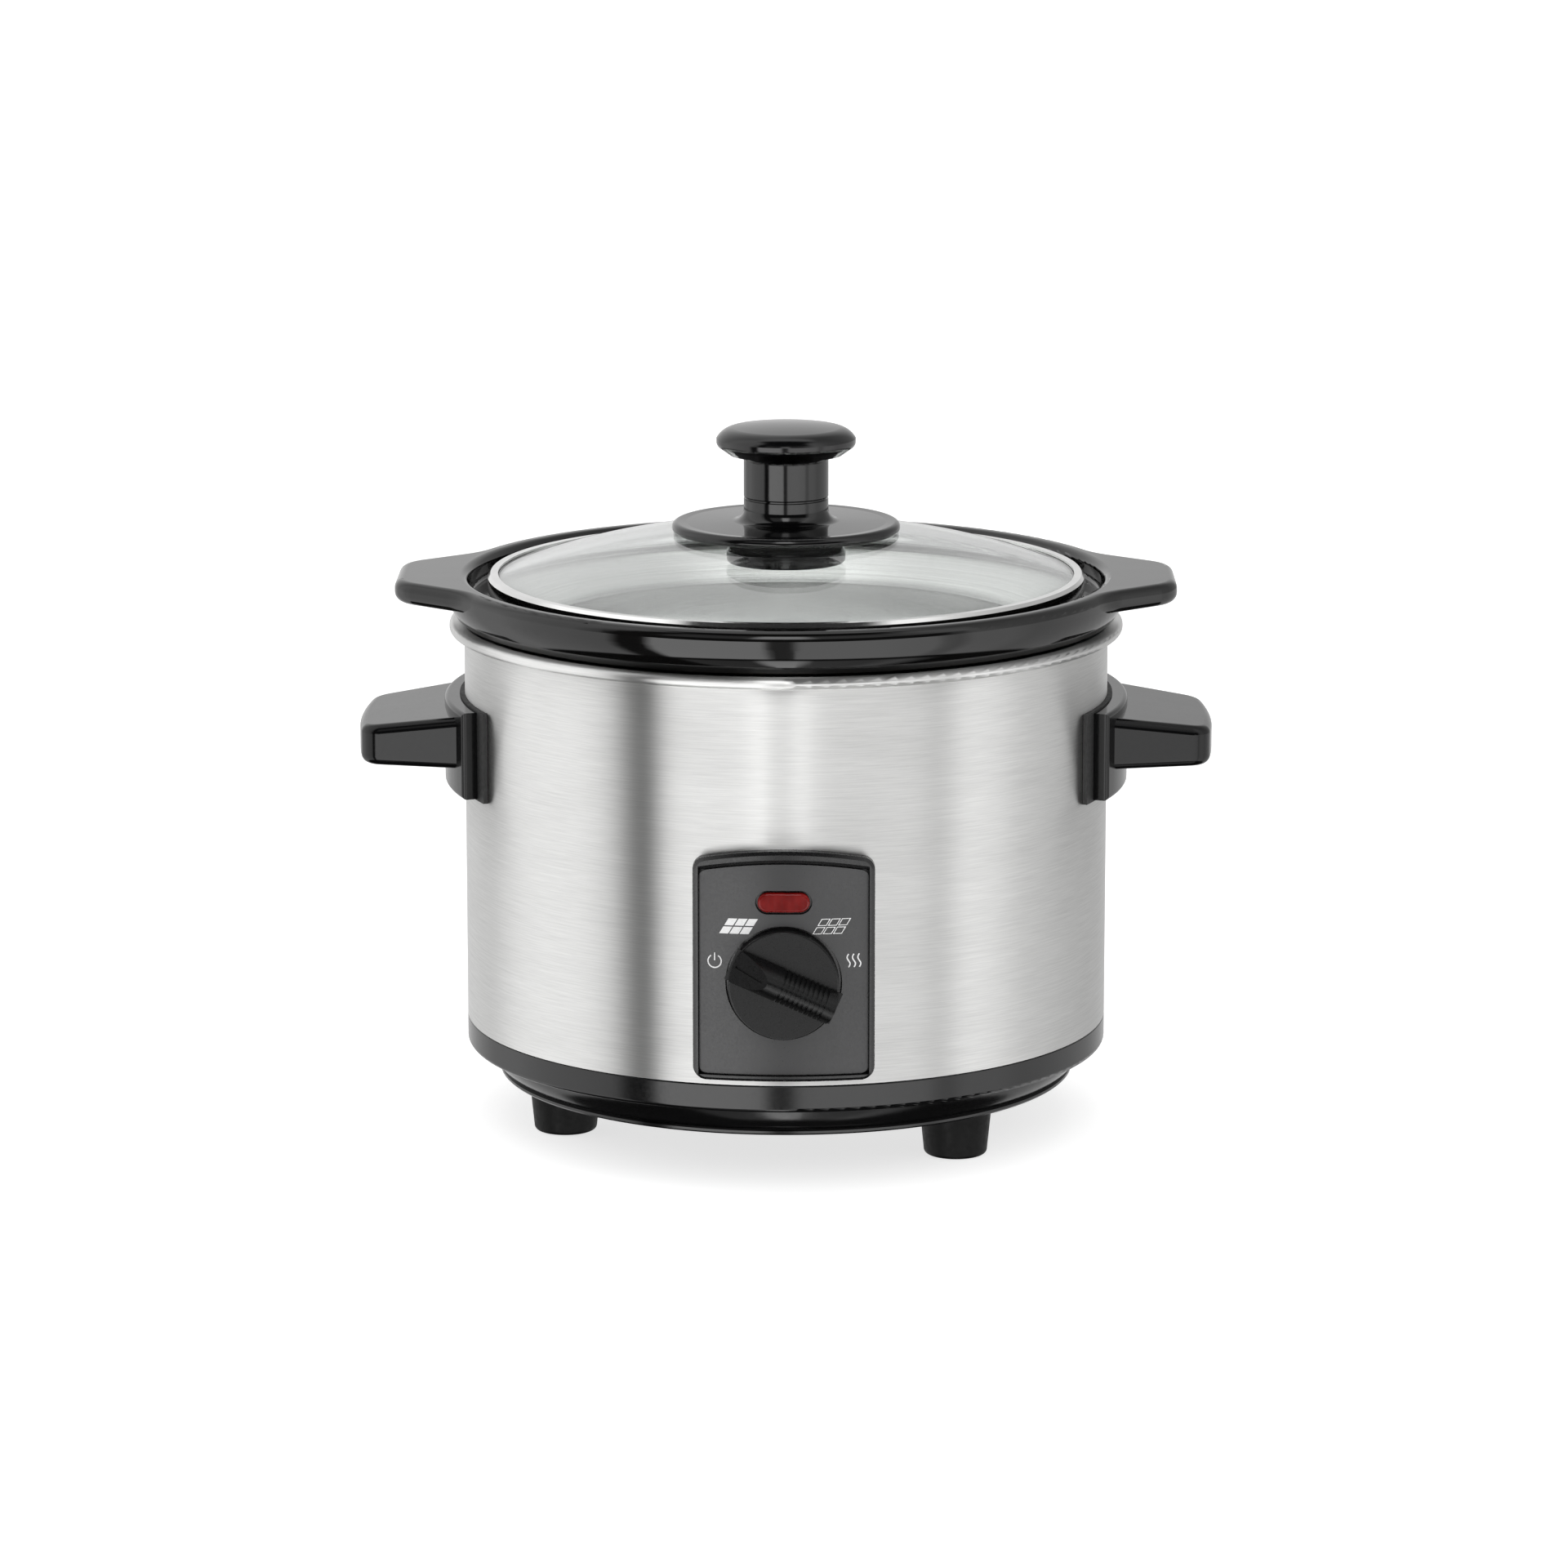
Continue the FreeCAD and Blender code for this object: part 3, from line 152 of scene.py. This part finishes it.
    def burnished(self, height, rise, roughness):
        """Above a height the surface is smoother, easing to this roughness over rise."""
        split = self.add("ShaderNodeSeparateXYZ")
        self.link(self.place, split.inputs["Vector"])
        limit = self.spread(split.outputs["Z"], 1.0, roughness, height, height + rise)
        lower = self.add("ShaderNodeMath", operation="MINIMUM")
        self.link(self.shader.inputs["Roughness"].links[0].from_socket, lower.inputs[0])
        self.link(limit, lower.inputs[1])
        self.link(lower.outputs["Value"], self.shader.inputs["Roughness"])

    def shade(self, source, part, start=0.3, end=0.7):
        """The base colour varies by a fraction each way as source goes from start to end."""
        dark = [c * (1.0 - part) for c in self.base]
        light = [min(1.0, c * (1.0 + part)) for c in self.base]
        self.tint(source, dark, light, start, end)

    def polish(self, source, low, high, start=0.3, end=0.7):
        self.link(self.spread(source, low, high, start, end), self.shader.inputs["Roughness"])

    def bump(self, source, depth, strength=1.0):
        node = self.add("ShaderNodeBump")
        node.inputs["Strength"].default_value = strength
        node.inputs["Distance"].default_value = depth
        self.link(source, node.inputs["Height"])
        if self.normal is not None:
            self.link(self.normal, node.inputs["Normal"])
        self.normal = node.outputs["Normal"]
        self.link(self.normal, self.shader.inputs["Normal"])

    def brushed(self, amount, turn=0.25):
        """Highlights stretch across marks that run round the vertical axis."""
        tangent = self.add("ShaderNodeTangent", direction_type="RADIAL", axis="Z")
        self.link(tangent.outputs["Tangent"], self.shader.inputs["Tangent"])
        self.set("Anisotropic", amount)
        self.set("Anisotropic Rotation", turn)


# heights at which the dish's floor with painted shade ends and the shell's burnished bead begins
DISH_FLOOR_TOP = 148.3 * MM
BEAD_LOW = 145.0 * MM


def shell_steel():
    look = Look("shell_steel", (0.76, 0.76, 0.75), 0.4, 1.0)
    lines = look.noise(look.scaled((70.0, 70.0, 2600.0)), detail=5.0, roughness=0.7)
    cloud = look.noise(look.scaled((30.0, 30.0, 90.0)), detail=2.0)
    look.shade(lines, 0.09)
    look.polish(cloud, 0.385, 0.405)
    look.burnished(BEAD_LOW, 0.8 * MM, 0.33)
    look.bump(lines, 0.012 * MM, 0.5)
    look.brushed(1.0)
    return look


def dish_steel():
    look = Look("dish_steel", (0.86, 0.86, 0.85), 0.2, 1.0)
    turning = look.noise(look.rings(2600.0, 1.1), detail=3.0, roughness=0.6)
    look.shade(turning, 0.12)
    # painted shade: the dish's floor, down in the dish, gets a base colour darkened to 0.6 of the
    # steel's
    look.painted_shade_below(DISH_FLOOR_TOP, 1.2 * MM, 0.6)
    look.polish(turning, 0.17, 0.27)
    look.bump(turning, 0.012 * MM, 0.6)
    look.brushed(0.75)
    return look


def plain_steel(name, colour, roughness, scale=600.0):
    """Plated or dull sheet steel with fine handling marks."""
    look = Look(name, colour, roughness, 1.0)
    marks = look.noise(look.scaled((scale, scale, scale)), detail=5.0)
    cloud = look.noise(look.scaled((60.0, 60.0, 60.0)), detail=2.0)
    look.shade(cloud, 0.07)
    look.polish(marks, roughness * 0.8, roughness * 1.25)
    look.bump(marks, 0.01 * MM, 0.4)
    return look


def moulded(name, colour, roughness, grain, depth, wave=0.0, gloss=0.5):
    """Moulded plastic or rubber: a fine grain and, on glossy faces, a slight long wave."""
    look = Look(name, colour, roughness)
    look.set("Specular IOR Level", gloss)
    fine = look.noise(look.scaled((grain, grain, grain)), detail=3.0)
    cloud = look.noise(look.scaled((45.0, 45.0, 45.0)), detail=2.0)
    look.shade(cloud, 0.12)
    look.polish(fine, roughness * 0.85, roughness * 1.2)
    look.bump(fine, depth * MM, 0.5)
    if wave:
        look.bump(look.noise(look.scaled((70.0, 70.0, 70.0)), detail=1.0), wave * MM, 1.0)
    return look


def black_glaze():
    look = Look("crock_glaze", (0.002, 0.002, 0.002), 0.05)
    pool = look.noise(look.scaled((35.0, 35.0, 50.0)), detail=2.0)
    pin = look.noise(look.scaled((420.0, 420.0, 420.0)), detail=2.0)
    look.tint(pool, (0.0015, 0.0015, 0.0016), (0.0030, 0.0028, 0.0026))
    look.polish(pin, 0.04, 0.075)
    look.bump(pool, 0.10 * MM, 0.7)
    look.bump(pin, 0.006 * MM, 0.4)
    look.set("IOR", 1.5)
    return look


def clear_glass():
    look = Look("lid_glass", (0.965, 0.985, 0.975), 0.0)
    film = look.noise(look.scaled((40.0, 40.0, 40.0)), detail=4.0)
    look.polish(film, 0.0, 0.02, 0.45, 0.8)
    look.bump(look.noise(look.scaled((22.0, 22.0, 22.0)), detail=1.0), 0.05 * MM, 0.6)
    look.set("Transmission Weight", 1.0)
    look.set("IOR", 1.5)
    return look


def red_lens():
    look = Look("lens_red", (0.24, 0.004, 0.003), 0.16)
    ribs = look.add("ShaderNodeTexWave", wave_type="BANDS", bands_direction="X")
    ribs.inputs["Scale"].default_value = 160.0
    look.link(look.place, ribs.inputs["Vector"])
    cloud = look.noise(look.scaled((250.0, 250.0, 250.0)), detail=2.0)
    look.tint(cloud, (0.18, 0.003, 0.0025), (0.30, 0.005, 0.004))
    look.bump(ribs.outputs["Fac"], 0.02 * MM, 0.6)
    look.polish(cloud, 0.12, 0.2)
    look.set("Transmission Weight", 0.35)
    look.set("Specular IOR Level", 0.2)
    look.set("IOR", 1.49)
    return look


def woven(name, colour, pitch, depth):
    """A plaited glass-fibre sleeve or a needled mat."""
    look = Look(name, colour, 0.85)
    cells = look.spots(look.scaled((1.0, 1.0, 1.0)), scale=pitch)
    fibre = look.noise(look.scaled((2.0 * pitch, 2.0 * pitch, 0.4 * pitch)), detail=4.0)
    look.shade(fibre, 0.14)
    look.polish(fibre, 0.75, 0.95)
    look.bump(cells, depth * MM, 0.7)
    look.bump(fibre, 0.3 * depth * MM, 0.7)
    look.set("Sheen Weight", 0.3)
    return look


def printed_white():
    """Screen-printed white ink, slightly uneven."""
    look = Look("print_white", (0.86, 0.86, 0.86), 0.42)
    film = look.noise(look.scaled((1400.0, 1400.0, 1400.0)), detail=3.0)
    look.shade(film, 0.06)
    look.polish(film, 0.36, 0.5)
    look.bump(film, 0.005 * MM, 0.4)
    return look


KNOB_BLACK = (0.002, 0.002, 0.0022)
LOOKS = {
    "shell_steel": shell_steel(),
    "well_steel": plain_steel("well_steel", (0.52, 0.53, 0.54), 0.42),
    "dish_steel": dish_steel(),
    "band_steel": plain_steel("band_steel", (0.86, 0.86, 0.85), 0.10, 900.0),
    "zinc_steel": plain_steel("zinc_steel", (0.62, 0.64, 0.66), 0.32),
    "brass": plain_steel("brass", (0.72, 0.53, 0.24), 0.30),
    "crock_glaze": black_glaze(),
    "glass": clear_glass(),
    "knob_phenolic": moulded("knob_phenolic", KNOB_BLACK, 0.10, 900.0, 0.004, 0.03),
    "handle_phenolic": moulded("handle_phenolic", KNOB_BLACK, 0.13, 900.0, 0.004, 0.03, 0.3),
    "base_plastic": moulded("base_plastic", (0.003, 0.003, 0.0032), 0.15, 900.0, 0.005, 0.03),
    "foot_rubber": moulded("foot_rubber", (0.004, 0.004, 0.004), 0.45, 700.0, 0.015, 0.0, 0.12),
    "frame_plastic": moulded("frame_plastic", (0.006, 0.006, 0.0065), 0.26, 1500.0, 0.006),
    "face_plastic": moulded("face_plastic", (0.034, 0.034, 0.035), 0.32, 1800.0, 0.006),
    "dial_plastic": moulded(
        "dial_plastic", (0.0045, 0.0045, 0.0047), 0.30, 1600.0, 0.008, 0.0, 0.35),
    "lens_red": red_lens(),
    "silicone": moulded("silicone", (0.70, 0.69, 0.66), 0.45, 500.0, 0.01),
    "heat_gasket": moulded("heat_gasket", (0.02, 0.02, 0.02), 0.6, 700.0, 0.02),
    "mica_heater": plain_steel("mica_heater", (0.46, 0.43, 0.39), 0.5, 400.0),
    "glass_wool": woven("glass_wool", (0.78, 0.72, 0.56), 320.0, 0.5),
    "shield_aluminium": plain_steel("shield_aluminium", (0.78, 0.78, 0.79), 0.3, 500.0),
    "spring_steel": plain_steel("spring_steel", (0.38, 0.40, 0.43), 0.28),
    "switch_plastic": moulded("switch_plastic", (0.035, 0.028, 0.022), 0.35, 800.0, 0.01),
    "shaft_plastic": moulded("shaft_plastic", (0.74, 0.73, 0.69), 0.4, 900.0, 0.008),
    "lamp_glass": moulded("lamp_glass", (0.85, 0.62, 0.5), 0.08, 300.0, 0.004),
    "holder_plastic": moulded("holder_plastic", (0.78, 0.77, 0.74), 0.42, 900.0, 0.008),
    "porcelain": moulded("porcelain", (0.82, 0.80, 0.75), 0.38, 600.0, 0.01),
    "fuse_body": plain_steel("fuse_body", (0.68, 0.69, 0.7), 0.3),
    "gland_plastic": moulded("gland_plastic", (0.012, 0.012, 0.012), 0.42, 900.0, 0.015),
    "wire_sleeve": woven("wire_sleeve", (0.80, 0.78, 0.72), 1400.0, 0.12),
}

for part in frame["record"]["subparts"]:
    node = nodes[part["node"]]
    node.data.materials.clear()
    node.data.materials.append(LOOKS[part["material_slot"]].material)

INK = printed_white().material

# ---------------------------------------------------------------------------- printed symbols

# the ink stands just proud of the panel face, which is bent round the shell
FACE_R = 96.3 * MM
INK_DEPTH = 0.03 * MM
OFF_LINE = 0.34
WAVE_LINE = 0.36


def on_face(x, z):
    """A point in mm on the panel, x to the right and z up, put on its curved face."""
    x, z = x * MM, z * MM
    return Vector((x, -math.sqrt(FACE_R * FACE_R - x * x), z))


def printed(name, outlines):
    """Thin patches of ink on the panel face, one for each closed outline of (x, z) points."""
    mesh = bmesh.new()
    for outline in outlines:
        front = [mesh.verts.new(on_face(x, z)) for x, z in outline]
        back = [mesh.verts.new(on_face(x, z) + Vector((0.0, INK_DEPTH, 0.0)))
                for x, z in outline]
        mesh.faces.new(front)
        mesh.faces.new(list(reversed(back)))
        count = len(outline)
        for i in range(count):
            j = (i + 1) % count
            mesh.faces.new((front[i], back[i], back[j], front[j]))
    bmesh.ops.recalc_face_normals(mesh, faces=mesh.faces)
    data = bpy.data.meshes.new(name)
    mesh.to_mesh(data)
    mesh.free()
    data.materials.append(INK)
    piece = bpy.data.objects.new(name, data)
    bpy.context.scene.collection.objects.link(piece)
    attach(piece, "base")


def stroke(points, width):
    """Short four-sided patches along a line of points."""
    offsets = []
    for i, (x, z) in enumerate(points):
        before = points[max(i - 1, 0)]
        after = points[min(i + 1, len(points) - 1)]
        dx, dz = after[0] - before[0], after[1] - before[1]
        length = math.hypot(dx, dz)
        offsets.append((-dz / length * width / 2, dx / length * width / 2))
    patches = []
    for i in range(len(points) - 1):
        (x0, z0), (x1, z1) = points[i], points[i + 1]
        (a0, b0), (a1, b1) = offsets[i], offsets[i + 1]
        patches.append([
            (x0 - a0, z0 - b0), (x1 - a1, z1 - b1), (x1 + a1, z1 + b1), (x0 + a0, z0 + b0),
        ])
    return patches


def arc(x, z, radius, start, end, steps):
    """Points on a circle, angles in degrees from +X towards +Z."""
    points = []
    for i in range(steps + 1):
        angle = math.radians(start + (end - start) * i / steps)
        points.append((x + radius * math.cos(angle), z + radius * math.sin(angle)))
    return points


def tile_corners(x, z, column, row):
    """The corners of one tile in a leaning grid of three columns by two rows."""
    width, height, gap, lean = 2.5, 2.0, 0.36, 0.6
    left = (column - 1.5) * (width + gap) + gap / 2
    low = (row - 1.0) * (height + gap) + gap / 2
    corners = []
    for u, v in ((0, 0), (width, 0), (width, height), (0, height)):
        across, up = left + u, low + v
        corners.append((x + across + lean * up, z + up))
    return corners


def shrunk(corners, part):
    """The same outline made smaller about its middle."""
    cx = sum(p[0] for p in corners) / len(corners)
    cz = sum(p[1] for p in corners) / len(corners)
    return [(cx + (px - cx) * part, cz + (pz - cz) * part) for px, pz in corners]


def tile_grid(name, x, z, filled):
    """Six tiles, solid or as outlines."""
    outlines = []
    for column in range(3):
        for row in range(2):
            corners = tile_corners(x, z, column, row)
            if filled:
                outlines.append(corners)
                continue
            inner = shrunk(corners, 0.80)
            for i in range(4):
                j = (i + 1) % 4
                outlines.append([corners[i], corners[j], inner[j], inner[i]])
    printed(name, outlines)


def off_symbol(x, z):
    """A ring open at the top, with a bar in the gap."""
    ring = stroke(arc(x, z, 1.85, 122.0, 418.0, 40), OFF_LINE)
    bar = stroke([(x, z + 0.2), (x, z + 2.4)], OFF_LINE)
    printed("symbol_off", ring + bar)


def warm_symbol(x, z):
    """Three rising wavy lines."""
    height, sway, steps = 3.8, 0.42, 16
    outlines = []
    for shift in (-1.5, 0.0, 1.5):
        wave = []
        for i in range(steps + 1):
            part = i / steps
            across = x + shift + sway * math.sin(part * math.tau)
            wave.append((across, z + height * (part - 0.5)))
        outlines += stroke(wave, WAVE_LINE)
    printed("symbol_warm", outlines)


tile_grid("symbol_high", -12.6, 78.3, True)
tile_grid("symbol_low", 13.4, 78.3, False)
off_symbol(-19.3, 68.1)
warm_symbol(19.6, 68.3)

# ---------------------------------------------------------------------------- set and light


def lamp(name, place, width, height, power):
    """A soft box over the set that lights faces without showing in glossy ones."""
    data = bpy.data.lights.new(name, "AREA")
    data.shape = "RECTANGLE"
    data.size = width
    data.size_y = height
    data.energy = power
    holder = bpy.data.objects.new(name, data)
    holder.location = place
    away = Vector(place).normalized()
    holder.rotation_euler = (-away).to_track_quat("-Z", "Y").to_euler()
    holder.visible_camera = False
    holder.visible_glossy = False
    bpy.context.scene.collection.objects.link(holder)


lamp("lamp_over", (0.0, -0.3, 1.6), 1.8, 1.8, 14.0)


def backdrop():
    """A wide pale floor."""
    mesh = bmesh.new()
    bmesh.ops.create_grid(mesh, x_segments=24, y_segments=24, size=9.0)
    data = bpy.data.meshes.new("floor")
    mesh.to_mesh(data)
    mesh.free()
    floor = bpy.data.objects.new("floor", data)
    floor.location = (0.0, 0.0, -0.0002)
    floor.visible_glossy = False
    bpy.context.scene.collection.objects.link(floor)
    look = Look("floor_paper", (0.55, 0.55, 0.55), 1.0)
    look.shade(look.noise(look.scaled((3.0, 3.0, 3.0)), detail=2.0), 0.01)
    look.set("Specular IOR Level", 0.0)
    look.set("Emission Color", (1.0, 1.0, 1.0, 1.0))
    look.set("Emission Strength", 0.72)
    data.materials.append(look.material)


backdrop()

# ---- the studio round the object, as brightness by direction: azimuth in degrees from the
# front, positive to the right, then brightness. The low ring holds two boxes of light with a
# narrow gap in front of the object, and the front ring fills that gap above and below them
LOW_RING = [
    (-180, 0.7), (-130, 0.75), (-112, 1.2), (-80, 1.35), (-63, 1.3), (-58, 0.05), (-49, 0.05),
    (-45, 3.0), (-30, 3.0), (-8, 2.9), (-5, 0.3), (2, 0.3), (5, 2.2), (30, 2.2), (52, 1.9),
    (56, 1.3), (61, 1.1), (67, 1.6), (82, 1.4), (94, 1.0), (120, 0.8), (141, 0.65), (180, 0.7),
]
HIGH_RING = [
    (-180, 0.75), (-171, 0.85), (-150, 0.85), (-128, 0.8), (-112, 1.15), (-76, 1.2),
    (-66, 0.7), (-60, 0.03), (54, 0.03), (60, 0.5), (67, 1.1), (82, 1.0), (94, 0.7),
    (120, 0.45), (150, 0.4), (164, 0.6), (173, 0.65), (180, 0.75),
]
FRONT_RING = [
    (-180, 0.0), (-47, 0.0), (-43, 0.4), (-14, 0.4), (-9, 3.4), (6, 3.4), (12, 0.6), (40, 0.5),
    (54, 0.9), (64, 0.4), (72, 0.0), (180, 0.0),
]
# the brightest stop that a ring can hold
RING_SCALE = 4.0
# where each ring shows, as elevations in degrees: its lower edge's start and end, then its upper
LOW_BAND = (-45.0, -41.0, -7.0, -3.0)
HIGH_BAND = (-7.0, -3.0, 60.0, 72.0)
FILLER_ABOVE = (18.0, 26.0, 50.0, 62.0)
FILLER_BELOW = (-80.0, -72.0, -52.0, -46.0)
# the roof light fills the sky above this elevation, behind this depth of the unit sphere
ROOF_EDGE = (60.0, 72.0)
ROOF_FRONT = (-0.02, 0.15)
ROOF_LEVEL = 1.15
AMBIENT = 0.02
SEEN_LEVEL = 0.95


class Studio:
    """The world's nodes. What the camera sees directly is plain and pale."""

    def __init__(self):
        self.world = bpy.data.worlds.new("studio")
        bpy.context.scene.world = self.world
        self.world.use_nodes = True
        self.tree = self.world.node_tree
        self.background = self.tree.nodes["Background"]
        split = self.add("ShaderNodeSeparateXYZ")
        self.link(self.add("ShaderNodeTexCoord").outputs["Generated"], split.inputs["Vector"])
        self.x, self.y, self.z = (split.outputs[axis] for axis in "XYZ")

    def add(self, kind, **values):
        node = self.tree.nodes.new(kind)
        for key, value in values.items():
            setattr(node, key, value)
        return node

    def link(self, source, target):
        self.tree.links.new(source, target)

    def math(self, operation, *terms):
        node = self.add("ShaderNodeMath", operation=operation)
        for socket, term in zip(node.inputs, terms):
            if isinstance(term, (int, float)):
                socket.default_value = term
            else:
                self.link(term, socket)
        return node.outputs["Value"]

    def ease(self, source, start, end):
        """0 below start and 1 above end, with a smooth change between."""
        node = self.add("ShaderNodeMapRange", interpolation_type="SMOOTHSTEP")
        node.inputs["From Min"].default_value = start
        node.inputs["From Max"].default_value = end
        self.link(source, node.inputs["Value"])
        return node.outputs["Result"]

    def ring(self, around, stops):
        """Brightness by azimuth, read from a list of stops."""
        node = self.add("ShaderNodeValToRGB")
        ramp = node.color_ramp
        while len(ramp.elements) < len(stops):
            ramp.elements.new(0.5)
        for element, (angle, level) in zip(ramp.elements, stops):
            element.position = (angle + 180.0) / 360.0
            element.color = (level / RING_SCALE,) * 3 + (1.0,)
        self.link(around, node.inputs["Fac"])
        return self.math("MULTIPLY", node.outputs["Color"], RING_SCALE)

    def band(self, rise, start, full, fade, end):
        """1 from full to fade, with smooth edges that reach 0 at start and end."""
        inside = self.ease(rise, start, full)
        return self.math("MULTIPLY", inside, self.math("SUBTRACT", 1.0, self.ease(rise, fade, end)))

    def build(self):
        turn = self.math("ARCTAN2", self.x, self.math("MULTIPLY", self.y, -1.0))
        around = self.math("ADD", self.math("DIVIDE", turn, math.tau), 0.5)
        rise = self.math("DIVIDE", self.math("ARCSINE", self.z), math.radians(1.0))
        fillers = self.math("ADD", self.band(rise, *FILLER_ABOVE), self.band(rise, *FILLER_BELOW))
        roof = self.math("MULTIPLY", self.ease(rise, *ROOF_EDGE), self.ease(self.y, *ROOF_FRONT))
        total = self.math("MULTIPLY", roof, ROOF_LEVEL)
        for stops, part in (
            (LOW_RING, self.band(rise, *LOW_BAND)),
            (HIGH_RING, self.band(rise, *HIGH_BAND)),
            (FRONT_RING, fillers),
        ):
            total = self.math("ADD", total, self.math("MULTIPLY", self.ring(around, stops), part))
        total = self.math("ADD", total, AMBIENT)
        seen = self.add("ShaderNodeMix", data_type="FLOAT")
        self.link(self.add("ShaderNodeLightPath").outputs["Is Camera Ray"], seen.inputs["Factor"])
        self.link(total, seen.inputs["A"])
        seen.inputs["B"].default_value = SEEN_LEVEL
        self.link(seen.outputs["Result"], self.background.inputs["Color"])
        self.background.inputs["Strength"].default_value = 1.0


Studio().build()

bpy.context.scene.view_settings.view_transform = "Standard"
bpy.context.scene.view_settings.look = "None"

# ---------------------------------------------------------------------------- camera

AIM = Vector((-0.0006, 0.0, 0.0989))
EYE = Vector((0.0127, -1.86, 0.4868))
camera_data = bpy.data.cameras.new("camera")
camera_data.sensor_width = 36.0
camera_data.lens = 149.2
camera_data.clip_end = 100.0
camera = bpy.data.objects.new("camera", camera_data)
camera.location = EYE
camera.rotation_euler = (AIM - EYE).to_track_quat("-Z", "Y").to_euler()
bpy.context.scene.collection.objects.link(camera)
bpy.context.scene.camera = camera
